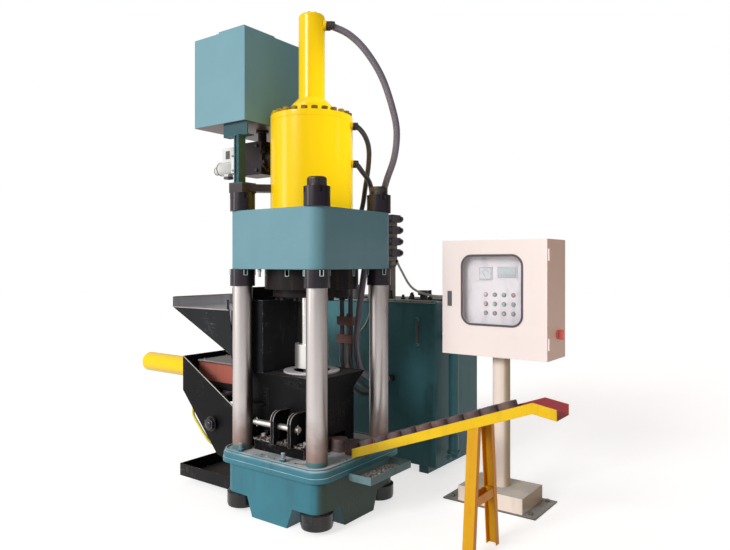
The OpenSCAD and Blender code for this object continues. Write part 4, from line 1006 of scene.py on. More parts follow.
class Form:
    """A mesh that is made with bmesh operators, in its own place in the frame."""

    def __init__(self) -> None:
        """Starts empty."""
        self.mesh = bmesh.new()

    def _soften(self, edges: Iterable[bmesh.types.BMEdge], width: float, segments: int) -> None:
        """Bevels edges.

        Args:
            edges: the edges.
            width: the bevel's width.
            segments: how many facets it has.
        """
        bmesh.ops.bevel(
            self.mesh, geom=list(edges), offset=width, offset_type="OFFSET", segments=segments,
            profile=0.5, affect="EDGES", clamp_overlap=True, material=-1,
        )

    def block(self, low: Sequence[float], high: Sequence[float], round_by: float = 0.0) -> "Form":
        """Adds a block.

        Args:
            low: its lowest corner.
            high: its highest corner.
            round_by: the radius of its edges.

        Returns:
            The form itself.
        """
        low, high = Vector(low), Vector(high)
        size = Matrix.Diagonal((*(high - low), 1.0))
        where = Matrix.Translation((low + high) / 2) @ size
        corners = bmesh.ops.create_cube(self.mesh, size=1.0, matrix=where)["verts"]
        if round_by > 0:
            self._soften({e for v in corners for e in v.link_edges}, round_by, 3)
        return self

    def bar(
        self, start: Sequence[float], end: Sequence[float], radius: float, sides: int = 32,
        round_by: float = 0.0,
    ) -> "Form":
        """Adds a round or hexagonal bar.

        Args:
            start: the middle of its first end.
            end: the middle of its other end.
            radius: its radius.
            sides: how many sides it has.
            round_by: the radius of the edges of both ends.

        Returns:
            The form itself.
        """
        start, end = Vector(start), Vector(end)
        made = bmesh.ops.create_cone(
            self.mesh, cap_ends=True, cap_tris=False, segments=sides, radius1=radius,
            radius2=radius, depth=(end - start).length,
            matrix=facing(start, end),
        )["verts"]
        if round_by > 0:
            caps = {f for v in made for f in v.link_faces if len(f.verts) == sides}
            self._soften({e for f in caps for e in f.edges}, round_by, 3)
        return self

    def turned(
        self, outline: Sequence[Pair], start: Sequence[float], along: Sequence[float],
        steps: int = 48,
    ) -> "Form":
        """Adds a turned shape.

        Args:
            outline: its section as (radius, distance along the axis) points.
            start: where the axis starts.
            along: the axis's direction.
            steps: how many facets a full turn has.

        Returns:
            The form itself.
        """
        own = bmesh.new()
        verts = [own.verts.new((r, 0.0, z)) for r, z in outline]
        edges = [own.edges.new(pair) for pair in zip(verts, verts[1:])]
        bmesh.ops.spin(
            own, geom=verts + edges, cent=(0, 0, 0), axis=(0, 0, 1), steps=steps,
            angle=math.tau, use_merge=True, use_duplicate=False,
        )
        bmesh.ops.remove_doubles(own, verts=own.verts, dist=1e-6)
        bmesh.ops.recalc_face_normals(own, faces=own.faces)
        turn = Vector((0, 0, 1)).rotation_difference(Vector(along).normalized()).to_matrix().to_4x4()
        bmesh.ops.transform(own, matrix=Matrix.Translation(Vector(start)) @ turn, verts=own.verts)
        self._take(own)
        return self

    def ring(
        self, start: Sequence[float], along: Sequence[float], inner: float, outer: float, height: float,
        steps: int = 32,
    ) -> "Form":
        """Adds a ring with softened edges.

        Args:
            start: the middle of its first face.
            along: its axis.
            inner: its inner radius.
            outer: its outer radius.
            height: its height.
            steps: how many facets a full turn has.

        Returns:
            The form itself.
        """
        soft = min(outer - inner, height) * 0.25
        outline = [
            (inner, 0), (outer - soft, 0), (outer, soft), (outer, height - soft), (outer - soft, height),
            (inner, height), (inner, 0),
        ]
        return self.turned(outline, start, along, steps)

    def ball(self, middle: Sequence[float], radius: float, squash: Sequence[float] = (1, 1, 1)) -> "Form":
        """Adds a ball, squashed along the axes.

        Args:
            middle: its middle.
            radius: its radius.
            squash: the share of its size that each axis keeps.

        Returns:
            The form itself.
        """
        where = Matrix.Translation(Vector(middle)) @ Matrix.Diagonal((*squash, 1.0))
        bmesh.ops.create_uvsphere(self.mesh, u_segments=20, v_segments=12, radius=radius, matrix=where)
        return self

    def bolt(self, foot: Sequence[float], along: Sequence[float], across: float, height: float) -> "Form":
        """Adds a hexagon head with a washer under it.

        Args:
            foot: where the washer meets the surface.
            along: the direction of the head.
            across: its size across flats.
            height: the head's height.

        Returns:
            The form itself.
        """
        foot, along = Vector(foot), Vector(along).normalized()
        washer = height * 0.16
        radius = across / 2 / math.cos(math.pi / 6)
        self.bar(foot, foot + along * washer, radius * 1.12, 24, washer * 0.3)
        return self.bar(foot + along * washer, foot + along * height, radius, 6, height * 0.10)

    def from_node(self, name: str) -> "Form":
        """Takes a merged copy of a frame node's mesh.

        Args:
            name: the node's name.

        Returns:
            The form itself.
        """
        self.mesh.from_mesh(FRAME["nodes"][name].data)
        bmesh.ops.remove_doubles(self.mesh, verts=self.mesh.verts, dist=2e-5)
        bmesh.ops.dissolve_limit(
            self.mesh, angle_limit=math.radians(0.6), use_dissolve_boundaries=False,
            verts=self.mesh.verts, edges=self.mesh.edges, delimit=set(),
        )
        return self

    def soften(
        self, width: float, segments: int = 3, where: Callable[[Vector], bool] | None = None
    ) -> "Form":
        """Rounds the outward edges.

        Args:
            width: the bevel's width.
            segments: how many facets it has.
            where: picks edges by their middle, or None for all.

        Returns:
            The form itself.
        """
        least = math.radians(SHARP_FROM)
        picked = []
        for edge in self.mesh.edges:
            if not edge.is_manifold or not edge.is_convex or edge.calc_face_angle(0.0) < least:
                continue
            middle = (edge.verts[0].co + edge.verts[1].co) / 2
            if where is None or where(middle):
                picked.append(edge)
        self._soften(picked, width, segments)
        return self

    def roughen(self, depth: float, scale: float, seed: float) -> "Form":
        """Moves each vertex along its normal by a smooth noise.

        Args:
            depth: how far at most.
            scale: how fine the noise is.
            seed: which part of the noise is used.

        Returns:
            The form itself.
        """
        self.mesh.normal_update()
        for vert in self.mesh.verts:
            vert.co += vert.normal * depth * noise.noise(vert.co * scale + Vector((seed, 0, seed)))
        return self

    def moved(self, matrix: Matrix) -> "Form":
        """Moves all of the form by a matrix."""
        bmesh.ops.transform(self.mesh, matrix=matrix, verts=self.mesh.verts)
        return self

    def joined(self, other: "Form") -> "Form":
        """Takes another form's mesh into this one."""
        self._take(other.mesh)
        return self

    def _take(self, other: bmesh.types.BMesh) -> None:
        """Copies another bmesh into this one and frees it.

        Args:
            other: the other bmesh.
        """
        carrier = bpy.data.meshes.new("carrier")
        other.to_mesh(carrier)
        other.free()
        self.mesh.from_mesh(carrier)
        bpy.data.meshes.remove(carrier)

    def place(self, name: str, smooth_below: float = 38.0) -> bpy.types.Object:
        """Makes the object, at the origin, with its place in its mesh.

        Args:
            name: the piece's name.
            smooth_below: edges below this angle are shaded smooth, in degrees.

        Returns:
            The new object.
        """
        data = bpy.data.meshes.new(name)
        self.mesh.to_mesh(data)
        self.mesh.free()
        data.shade_smooth()
        data.set_sharp_from_angle(angle=math.radians(smooth_below))
        made = shown(name, data)
        weighted = made.modifiers.new("even_faces", "WEIGHTED_NORMAL")
        weighted.keep_sharp = True
        return made


def curve_through(points: Sequence[Point], steps: int = 8) -> list[Vector]:
    """Makes a smooth line through points.

    Args:
        points: the points.
        steps: how many steps each stretch has.

    Returns:
        The line's points.
    """
    given = [Vector(p) for p in points]
    line = []
    for index in range(len(given) - 1):
        before, start = given[max(index - 1, 0)], given[index]
        end, after = given[index + 1], given[min(index + 2, len(given) - 1)]
        for step in range(steps):
            t = step / steps
            line.append(
                0.5 * (2 * start + (end - before) * t + (2 * before - 5 * start + 4 * end - after) * t * t
                       + (3 * start - before - 3 * end + after) * t * t * t)
            )
    line.append(given[-1])
    return line


def around(count: int, radius: float, turn: float = 0.0) -> list[Pair]:
    """Returns points evenly round a circle, turned by a share of the step between them."""
    angles = (math.tau * (k + turn) / count for k in range(count))
    return [(radius * math.cos(angle), radius * math.sin(angle)) for angle in angles]


def tube(name: str, line: Sequence[Vector], radius: float, ripple: float = 0.0) -> bpy.types.Object:
    """Makes a round tube along a line, as a curve.

    Args:
        name: the piece's name.
        line: the points of its middle.
        radius: its radius.
        ripple: how much every other point swells, as on a weld.

    Returns:
        The curve object.
    """
    data = bpy.data.curves.new(name, "CURVE")
    data.dimensions = "3D"
    data.bevel_depth = radius
    data.bevel_resolution = 5
    data.use_fill_caps = True
    spline = data.splines.new("POLY")
    spline.points.add(len(line) - 1)
    for index, point in enumerate(line):
        spline.points[index].co = (*point, 1.0)
        spline.points[index].radius = 1.0 + (ripple if index % 2 else -ripple)
    spline.use_smooth = True
    return shown(name, data)


RIM_RISE = 0.053  # how far the base's rim stands over its top
FLARE = 0.053  # how far the die housing widens at its top
HALF_HOUSING = 0.200  # half of the die housing's width
NUT_RADIUS = 0.0815  # of the round nuts on the columns
BOX_END = -0.500  # where the hopper's box meets its bin


def base_top() -> float:
    """Returns the height of the base's top inside its rim."""
    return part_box("base_casting")[1].z - RIM_RISE


# ---- sub-assemblies --------------------------------------------------------------------------


@dataclass
class SubAssembly:
    """A group of pieces that are dressed together and ride on bodies of the frame."""

    title: str
    made: list[str] = field(default_factory=list)

    def dress(self, node: str, finish: Finish) -> None:
        """Gives a frame node its finish.

        Args:
            node: the node's name.
            finish: the finish.
        """
        shown = FRAME["nodes"][node]
        shown.data.materials.clear()
        shown.data.materials.append(finish.material())
        self.made.append(node)

    def add(
        self, piece: bpy.types.Object, finish: Finish, body: str = "frame", slot: str | None = None,
        stands_for: str | None = None,
    ) -> bpy.types.Object:
        """Gives a new piece its finish and its body.

        Args:
            piece: the piece.
            finish: its finish.
            body: the body that it rides on.
            slot: the record's material slot; not used.
            stands_for: the frame node that it replaces.

        Returns:
            The piece.
        """
        piece.data.materials.clear()
        piece.data.materials.append(finish.material())
        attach(piece, body)
        if stands_for is not None:
            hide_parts(stands_for)
        self.made.append(piece.name)
        return piece

    def refine(
        self, node: str, finish: Finish, width: float, slot: str, body: str = "frame", segments: int = 3,
        where: Callable[[Vector], bool] | None = None,
    ) -> bpy.types.Object:
        """Replaces a frame node by a copy of it with rounded edges.

        Args:
            node: the node's name.
            finish: its finish.
            width: the width of the rounding.
            slot: the record's material slot.
            body: the body that it rides on.
            segments: how many facets the rounding has.
            where: picks the edges by their middle, or None for all.

        Returns:
            The new piece.
        """
        piece = Form().from_node(node).soften(width, segments, where).place(f"{node}_body")
        return self.add(piece, finish, body, slot, node)

    def weld(self, name: str, points: Sequence[Point], finish: Finish, radius: float = 0.004) -> None:
        """Adds a weld bead along a line of points.

        Args:
            name: the piece's name.
            points: the corners of the line.
            finish: the paint over it.
            radius: the bead's radius.
        """
        line = []
        for start, end in zip(points, points[1:]):
            start, end = Vector(start), Vector(end)
            count = max(2, int((end - start).length / (radius * 1.6)))
            line += [start.lerp(end, k / count) for k in range(count)]
        line.append(Vector(points[-1]))
        self.add(tube(name, line, radius, 0.16), finish)

    def report(self) -> None:
        """Logs the pieces."""
        LOG.info("%s: %d pieces: %s", self.title, len(self.made), ", ".join(self.made))


@dataclass
class PressFrame(SubAssembly):
    """Base casting, columns with their nuts, and the top beam."""

    title: str = "press frame"
    column_radius: float = 0.065
    nut_clear: float = 0.085
    chip_count: int = 1000
    chips_on_base: tuple[Pair, Pair] = ((-0.40, 0.40), (-0.41, 0.30))
    chips_on_clamp: tuple[Pair, Pair] = ((-0.20, 0.20), (-0.345, -0.215))
    chips_in_tray_y: Pair = (-0.15, 0.27)
    clamp_rise: float = 0.0815
    chip_sizes: Pair = (0.002, 0.008)
    lip_round: float = 0.024
    lip_height: float = 0.08
    rim_inner: float = 0.405
    corner: float = 0.52
    beam_corner: float = 0.49
    band_grows: Pair = (0.985, 1.009)
    beam_round: float = 0.012
    thread_pitch: float = 0.006
    bead_in: float = 0.968
    bead_radius: float = 0.0065
    bead_clearance: float = 0.03
    foot_low: float = 0.024
    stud_xs: Pair = (-0.264, 0.108)
    stud_y: float = -0.388
    nipple: Point = (-0.123, -0.360, 0.050)

    def build(self) -> None:
        """Builds and dresses the sub-assembly."""
        self.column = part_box("columns")[1].x - self.column_radius
        self._base()
        self._beam()
        self._nuts()
        self.dress("columns", COLUMN_CHROME)
        self._threads()

    def _base(self) -> None:
        """Makes the base with its thick rounded lip."""
        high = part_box("base_casting")[1]
        top = base_top()
        form = Form().from_node("base_casting")

        def on_lip(middle: Vector) -> bool:
            """Whether an edge runs round the lip."""
            outside = max(abs(middle.x), abs(middle.y)) > high.x - 0.03 or middle.xy.length > self.corner
            return outside and min(abs(middle.z - top), abs(middle.z - (top - self.lip_height))) < 0.002

        outline = self._outline(form, top)
        form.soften(self.lip_round, 5, on_lip)
        form.soften(0.004, 2, lambda m: 0.002 < m.z < top - 0.085)
        self.add(form.place("base_body", 50.0), BASE_TEAL, slot="teal", stands_for="base_casting")
        self._rim(outline, top)
        self._swarf(top)
        studs = Form()
        for x in self.stud_xs:
            foot = Vector((x, self.stud_y, top))
            studs.bar(foot, foot + Vector((0, 0, 0.018)), 0.021, 6, 0.002)
            for turn in range(7):
                low = foot + Vector((0, 0, 0.020 + turn * 0.0045))
                studs.ring(low, UP, 0.0105, 0.0132, 0.0030, 20)
        self.add(studs.place("base_stud_nuts"), BASE_TEAL)

    def _outline(self, form: Form, top: float) -> list[Vector]:
        """Finds the outline of the rim's top face.

        Args:
            form: the base before its edges are rounded.
            top: the height of the rim's top face.

        Returns:
            The outline's corners in order.
        """
        near = [
            v.co.copy() for v in form.mesh.verts
            if abs(v.co.z - top) < 0.002
            and (max(abs(v.co.x), abs(v.co.y)) > self.rim_inner or v.co.xy.length > self.corner)
        ]
        return sorted(near, key=lambda v: math.atan2(v.y, v.x))

    def _rim(self, outline: Sequence[Vector], top: float) -> None:
        """Adds the proud band round the rim, and the bead on its top edge, open for the ejector slide.

        Args:
            outline: the corners of the rim's top face.
            top: the height of the rim's top face.
        """
        bead = [Vector((v.x * self.bead_in, v.y * self.bead_in, top + 0.001)) for v in outline]
        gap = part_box("ejector_slide")[1].y + self.bead_clearance
        line = [v for v in bead if v.x > 0 or abs(v.y) > gap]
        ends = [Vector((v.x, side * gap, v.z)) for v, side in ((line[0], -1), (line[-1], 1))]
        self.add(tube("base_rim_bead", [ends[0], *line, ends[1]], self.bead_radius, 0.05), BASE_TEAL)
        inner, outer = self.band_grows
        rings = ((inner, top - 0.078), (outer, top - 0.074), (outer, top - 0.046), (inner, top - 0.042))
        form = Form()
        loops = [
            [form.mesh.verts.new((v.x * grow, v.y * grow, z)) for v in outline] for grow, z in rings
        ]
        count = len(outline)
        for low, high in zip(loops, loops[1:] + loops[:1]):
            for k in range(count):
                after = (k + 1) % count
                form.mesh.faces.new((low[k], low[after], high[after], high[k]))
        bmesh.ops.recalc_face_normals(form.mesh, faces=form.mesh.faces)
        form.soften(0.002, 2)
        self.add(form.place("base_rim_band"), BASE_TEAL)

    def _swarf(self, top: float) -> None:
        """Scatters chips and fines on the base and in the drip tray.

        Args:
            top: the height of the rim's top face.
        """
        dice = random.Random(11)
        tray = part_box("drip_tray")
        chips, fines = Form(), Form()
        for number in range(self.chip_count):
            in_tray = number % 4 == 0
            on_clamp = number % 4 == 1
            if in_tray:
                x = dice.uniform(tray[0].x + 0.01, tray[1].x - 0.01)
                y = dice.uniform(*self.chips_in_tray_y)
                z = tray[0].z + 0.004
            elif on_clamp:
                x, y = (dice.uniform(*span) for span in self.chips_on_clamp)
                z = top + self.clamp_rise
            else:
                x, y = (dice.uniform(*span) for span in self.chips_on_base)
                z = top + 0.001
            beside = max(abs(abs(x) - self.column), abs(abs(y) - self.column)) < self.nut_clear
            covered = max(abs(x), abs(y)) < 0.215 or abs(y) < 0.10 or (abs(x) < 0.24 and -0.36 < y < 0)
            if not in_tray and not on_clamp and (beside or covered):
                continue
            size = dice.uniform(*self.chip_sizes)
            turn = Matrix.Rotation(dice.uniform(0, math.tau), 4, "Z")
            turn @= Matrix.Rotation(dice.uniform(0, 0.5), 4, "X")
            low, high = (-size, -size * 0.6, -size * 0.3), (size, size * 0.6, size * 0.4)
            chip = Form().block(low, high, size * 0.25)
            chip.moved(Matrix.Translation((x, y, z)) @ turn)
            (chips if dice.random() < 0.45 else fines).joined(chip)
        self.add(chips.place("base_chips"), EDGE_STEEL)
        self.add(fines.place("base_fines"), FINES)

    def _beam(self) -> None:
        """Makes the top beam with its rounded edges."""
        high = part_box("top_beam")[1]

        def outside(middle: Vector) -> bool:
            """Whether an edge is on the outline and not on a bore."""
            return max(abs(middle.x), abs(middle.y)) > high.x - 0.03 or middle.xy.length > self.beam_corner

        form = Form().from_node("top_beam").soften(self.beam_round, 4, outside)
        self.add(form.place("top_beam_body", 50.0), TEAL, slot="teal", stands_for="top_beam")

    def _nuts(self) -> None:
        """Makes the slotted round nuts, their slots' edges, the foot collars and a nipple."""
        self.refine("column_nuts", NUT_BLACK, 0.0022, "black_steel", segments=2)
        beam_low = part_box("top_beam")[0].z
        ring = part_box("cylinder_ring_nut")[1].x
        collars, edges = Form(), Form()
        collar = [(NUT_RADIUS, 0.0), (0.094, 0.004), (0.099, 0.02), (0.099, 0.092), (NUT_RADIUS, 0.095)]
        for x, y in product((-self.column, self.column), repeat=2):
            collars.turned(collar, (x, y, self.foot_low), UP, 48)
            for k in range(4):
                self._slot_edge(edges, Vector((x, y, beam_low)), 61 + 90 * k, (NUT_RADIUS, 0.011, 0.038))
        for k in range(8):
            self._slot_edge(edges, Vector((0, 0, beam_low)), 11.5 + 45 * k, (ring + 0.0005, 0.013, 0.044))
        self.add(collars.place("foot_collars"), NUT_BLACK)
        self.add(edges.place("slot_edges"), SLOT_PAINT_AND_HIGHLIGHT)
        x, y, length = self.nipple
        nipple = Form().bar((x, y, beam_low - length), (x, y, beam_low), 0.009, 20, 0.002)
        nipple.bar((x, y, beam_low - 0.018), (x, y, beam_low - 0.001), 0.013, 6, 0.001)
        self.add(nipple.place("beam_nipple"), EDGE_STEEL)

    @staticmethod
    def _slot_edge(form: Form, foot: Vector, angle: float, sizes: Point) -> None:
        """Adds the pale edge round one spanner slot: teal paint lightened as a painted highlight.

        Args:
            form: takes the edge.
            foot: the nut's axis at its top.
            angle: the slot's direction in degrees.
            sizes: the nut's radius, and the slot's half width and depth.
        """
        radius, half, deep = sizes
        turn = Matrix.Translation(foot) @ Matrix.Rotation(math.radians(angle), 4, "Z")
        path = ((-half, -0.002), (-half, -deep), (half, -deep), (half, -0.002))
        corners = [turn @ Vector((radius, y, z)) for y, z in path]
        for start, end in zip(corners, corners[1:]):
            form.bar(start, end, 0.0028, 8, 0.0006)

    def _threads(self) -> None:
        """Adds the thread turns on the free ends of the columns."""
        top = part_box("columns")[1].z
        nut_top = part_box("column_nuts")[1].z
        turns = int((top - 0.010 - nut_top) / self.thread_pitch)
        form = Form()
        thread = [(0.0585, 0.0), (0.0606, 0.0018), (0.0606, 0.0034), (0.0585, 0.0054)]
        for x, y in product((-self.column, self.column), repeat=2):
            for turn in range(turns):
                form.turned(thread, (x, y, nut_top + turn * self.thread_pitch), UP, 40)
        self.add(form.place("column_threads"), BLACK_FITTING)


@dataclass
class MainCylinder(SubAssembly):
    """Main cylinder, fast-approach cylinder, their bolts, the gland, plunger and punch."""

    title: str = "main cylinder"
    bolt_count: int = 24
    bolt_circle: float = 0.24825
    gland_bolts: int = 12
    bolt_across: float = 0.036
    top_screws: int = 8
    top_circle: float = 0.052
    top_round: float = 0.020
    flange_top: float = 0.13
    upper_port: Point = (0.2527, 0.1021, 2.495)
    lower_port: Point = (0.2489, 0.1108, 2.250)

    def build(self) -> None:
        """Builds and dresses the sub-assembly."""
        self.dress("main_cylinder", YELLOW)
        self._fast_cylinder()
        self._cover_bolts()
        self.refine("cylinder_ring_nut", GLAND_DARK, 0.003, "bare_steel")
        self.refine("gland_flange", GLAND_DARK, 0.003, "bare_steel", where=lambda m: m.xy.length > 0.2)
        self._gland_bolts()
        self.dress("main_plunger", PLUNGER_CHROME)
        self.refine("punch", BRIGHT_STEEL, 0.0025, "bright_steel", "plunger")
        self._fittings()

    def _fast_cylinder(self) -> None:
        """Rounds the top of the fast cylinder and the edges of its flange."""
        low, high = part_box("fast_cylinder")
        form = Form().from_node("fast_cylinder")
        form.soften(self.top_round, 6, lambda m: m.z > high.z - 0.001 and m.xy.length > 0.07)
        form.soften(0.004, 3, lambda m: m.z < low.z + self.flange_top and m.xy.length > 0.12)
        self.add(form.place("fast_cylinder_body"), YELLOW, slot="yellow", stands_for="fast_cylinder")
        screws = Form()
        for x, y in around(self.top_screws, self.top_circle, 0.5):
            screws.bar((x, y, high.z), (x, y, high.z + 0.008), 0.007, 6, 0.001)
        self.add(screws.place("fast_cylinder_screws"), BLACK_FITTING)

    def _cover_bolts(self) -> None:
        """Makes the bolts round the cover."""
        foot_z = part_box("cover_bolts")[0].z
        heads = Form()
        for x, y in around(self.bolt_count, self.bolt_circle):
            heads.bolt((x, y, foot_z), UP, self.bolt_across, 0.024)
        self.add(heads.place("cover_bolt_heads"), BOLT_YELLOW, slot="yellow", stands_for="cover_bolts")

    def _gland_bolts(self) -> None:
        """Makes the bolts under the gland."""
        low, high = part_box("gland_bolts")
        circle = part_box("gland_flange")[1].x - 0.035
        form = Form()
        for x, y in around(self.gland_bolts, circle, 0.5):
            form.bolt((x, y, high.z), (0, 0, -1), self.bolt_across, high.z - low.z)
        self.add(form.place("gland_bolt_heads"), GLAND_DARK, slot="bare_steel", stands_for="gland_bolts")

    def _fittings(self) -> None:
        """Adds a welded boss and an adapter at each oil port of the two cylinders."""
        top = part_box("fast_cylinder")[1].z
        ports = [
            (Vector((0.083, 0.036, top - 0.075)), Vector((0.78, 0.60, -0.10)), 0.034),
            (Vector(self.upper_port), Vector((0.79, 0.60, -0.09)), 0.027),
            (Vector(self.lower_port), Vector((0.76, 0.63, -0.10)), 0.027),
        ]
        boss, nuts = Form(), Form()
        for start, along, radius in ports:
            along = along.normalized()
            boss.bar(start - along * 0.012, start + along * 0.010, radius, 32, 0.003)
            nuts.bar(start + along * 0.009, start + along * 0.030, radius * 0.98, 6, 0.002)
            nuts.bar(start + along * 0.029, start + along * 0.040, radius * 0.84, 24, 0.002)
        self.add(boss.place("port_bosses"), YELLOW)
        self.add(nuts.place("port_adapters"), BLACK_FITTING)


@dataclass
class DieBlock(SubAssembly):
    """Guide ring, die housing, sleeve, clamp block and its shaft."""

    title: str = "die"
    clamp_height: float = 0.080
    bolt_xs: Point = (-0.190, 0.040, 0.175)
    wing_bolt: Pair = (-0.330, 0.722)
    shield_xs: Pair = (-0.372, -0.218)
    lug_xs: Pair = (-0.030, 0.115)
    lug_middle: Pair = (-0.285, 0.607)
    lug_radius: float = 0.0602

    def build(self) -> None:
        """Builds and dresses the sub-assembly."""
        self.refine("guide_ring", RING_BRIGHT, 0.0025, "bright_steel")
        self.refine("die_housing", BLACK, 0.004, "black_steel")
        self.refine("clamp_block", CLAMP_BLACK, 0.003, "black_steel", segments=2)
        self.dress("die_sleeve", BRIGHT_STEEL)
        self._shaft()
        self._clamp_bolts()
        self._seams()

    def _shaft(self) -> None:
        """Makes the shaft with chamfered ends and a cotter pin at each."""
        low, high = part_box("clamp_shaft")
        middle = (low + high) / 2
        form = Form()
        start, end = (low.x, middle.y, middle.z), (high.x, middle.y, middle.z)
        form.bar(start, end, (high.z - low.z) / 2, 40, 0.003)
        for x in (low.x + 0.02, high.x - 0.012):
            form.bar((x, middle.y, middle.z - 0.030), (x, middle.y, middle.z + 0.030), 0.003, 12, 0.001)
        self.add(form.place("clamp_shaft_body"), BRIGHT_STEEL, slot="bright_steel", stands_for="clamp_shaft")

    def _clamp_bolts(self) -> None:
        """Adds the clamp block's bolts and gussets, the wing's shield, and bright bars on the lugs' edges as
        a painted highlight.
        """
        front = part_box("die_housing")[0].y + FLARE
        top = base_top() + self.clamp_height
        form = Form()
        for x in self.bolt_xs:
            form.bolt((x, front - 0.055, top), UP, 0.030, 0.020)
        x, z = self.wing_bolt
        form.bolt((x, front - 0.053, z), FRONT, 0.024, 0.012)
        self.add(form.place("clamp_bolts"), EDGE_STEEL)
        low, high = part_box("clamp_block")
        plates = Form()
        for k, x in enumerate((low.x + 0.02, high.x - 0.05)):
            plates.block((x, front - 0.030, top), (x + 0.030, front - 0.002, top + 0.030 + 0.01 * k), 0.002)
        self.add(plates.place("clamp_gussets"), BLACK)
        left, right = self.shield_xs
        shield = Form().block((left, -0.196, top - 0.079), (right, -0.188, top + 0.096), 0.002)
        self.add(shield.place("wing_shield"), BLACK)
        # Bright steel bars along the lugs' curved edges: painted highlight.
        edges = Form()
        y, z = self.lug_middle
        arc = [
            (y - self.lug_radius * math.cos(a), z + self.lug_radius * math.sin(a))
            for a in (math.radians(18 * step) for step in range(6))
        ]
        for x in self.lug_xs:
            for side in (-0.011, 0.011):
                for start, end in zip(arc, arc[1:]):
                    edges.bar((x + side, *start), (x + side, *end), 0.0026, 8, 0.0006)
        self.add(edges.place("lug_edges"), EDGE_STEEL)

    def _seams(self) -> None:
        """Adds the weld seams of the housing."""
        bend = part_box("die_housing")[1].z - 0.110
        foot = base_top()
        half = HALF_HOUSING
        self.weld("housing_seam_front", [(-half, -half, foot + 0.09), (-half, -half, bend)], BLACK, 0.003)
        self.weld("housing_seam_foot", [(half, -half, foot), (half, half, foot)], BLACK, 0.005)
        self.weld("housing_seam_side", [(half, -half, foot), (half, -half, bend)], BLACK, 0.003)


@dataclass
class Feed(SubAssembly):
    """Hopper, feed frame, trough, pusher and its cylinder."""

    title: str = "feed"
    guard_top: float = 1.430
    axis: float = 0.790
    bolts_out: float = 0.082
    bolts_up: float = 0.062
    plate_half: float = 0.2495
    pipes: tuple[Pair, Pair] = ((-0.150, 0.662), (-0.105, 0.672))
    clip_xs: Point = (-0.84, -0.66, -0.50)

    def build(self) -> None:
        """Builds and dresses the sub-assembly."""
        self.refine("hopper", HOPPER_BLACK, 0.0015, "worn_sheet", segments=2)
        self.refine("feed_frame", BLACK, 0.002, "black_steel", segments=2)
        self.dress("feed_trough", PRIMER)
        self.refine("trough_lid", WORN_LID, 0.0015, "worn_sheet", segments=2)
        self.dress("feed_pusher", DULL_STEEL)
        self.refine("feed_cylinder", YELLOW, 0.003, "yellow")
        self._bolts()
        self._hopper_rim()
        self._seams()

    def _bolts(self) -> None:
        """Adds the screws of the lid, the flange bolts of the cylinder and its port fittings."""
        low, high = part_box("trough_lid")
        lid = Form()
        for x, y in product((low.x + 0.035, high.x - 0.040), (-0.107, 0.107)):
            lid.bolt((x, y, high.z), UP, 0.017, 0.009)
        self.add(lid.place("lid_screws"), FITTING_ZINC)
        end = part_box("feed_frame")[0].x
        flange = Form()
        for y, z in product((-self.bolts_out, self.bolts_out), (-self.bolts_up, self.bolts_up)):
            flange.bolt((end - 0.022, y, self.axis + z), (-1, 0, 0), 0.024, 0.016)
        self.add(flange.place("feed_flange_bolts"), BLACK_FITTING)
        ports = Form()
        x = end - 0.07
        ports.bar((x, 0, self.axis + 0.070), (x, 0, self.axis + 0.100), 0.020, 24, 0.002)
        ports.bar((x, 0, self.axis + 0.099), (x, 0, self.axis + 0.118), 0.021, 6, 0.002)
        self.add(ports.place("feed_ports"), BLACK_FITTING)
        # Bright steel strips along the side plates' sloping top edges: painted highlight.
        strips = Form()
        for side in (-1, 1):
            y = side * self.plate_half
            strips.bar((-1.020, y, 0.925), (-0.440, y, 0.597), 0.0035, 12, 0.001)
        self.add(strips.place("plate_edges"), EDGE_STEEL)
        pipes = Form()
        for y, z in self.pipes:
            pipes.bar((-0.90, y, z), (-0.44, y, z), 0.012, 20, 0.002)
        for x in self.clip_xs:
            pipes.block((x, -0.172, 0.646), (x + 0.030, -0.084, 0.688), 0.002)
        self.add(pipes.place("trough_pipes"), PIPE_VIOLET)

    def _hopper_rim(self) -> None:
        """Adds the folded strips along the hopper's rim and the guard on its box."""
        low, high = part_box("hopper")
        rim = high.z - 0.003 - 0.072
        strips = (
            ((low.x - 0.001, low.y - 0.003, rim - 0.003), (BOX_END, low.y + 0.016, rim + 0.004)),
            ((low.x - 0.003, low.y, high.z - 0.006), (low.x + 0.018, high.y, high.z + 0.001)),
            ((low.x, high.y - 0.016, high.z - 0.006), (BOX_END, high.y + 0.003, high.z + 0.001)),
        )
        form = Form()
        for corner, far_corner in strips:
            form.block(corner, far_corner, 0.0015)
        self.add(form.place("hopper_rim"), EDGE_STEEL)
        guard = Form().block(
            (BOX_END - 0.003, low.y + 0.034, high.z - 0.060),
            (BOX_END + 0.003, high.y - 0.034, self.guard_top),
            0.001,
        )
        self.add(guard.place("hopper_guard"), BLACK)

    def _seams(self) -> None:
        """Adds weld seams on the hopper and the frame."""
        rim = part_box("hopper")[1].z
        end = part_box("feed_frame")[0].x + 0.014
        for side, where in ((-1, "front"), (1, "rear")):
            y = side * (self.plate_half + 0.001)
            self.weld(f"hopper_seam_{where}", [(BOX_END, y, 0.950), (BOX_END, y, rim - 0.08)], HOPPER_BLACK)
            y = side * 0.238
            self.weld(f"frame_seam_{where}", [(end, y, 0.69), (end, y, 0.915)], BLACK, 0.005)


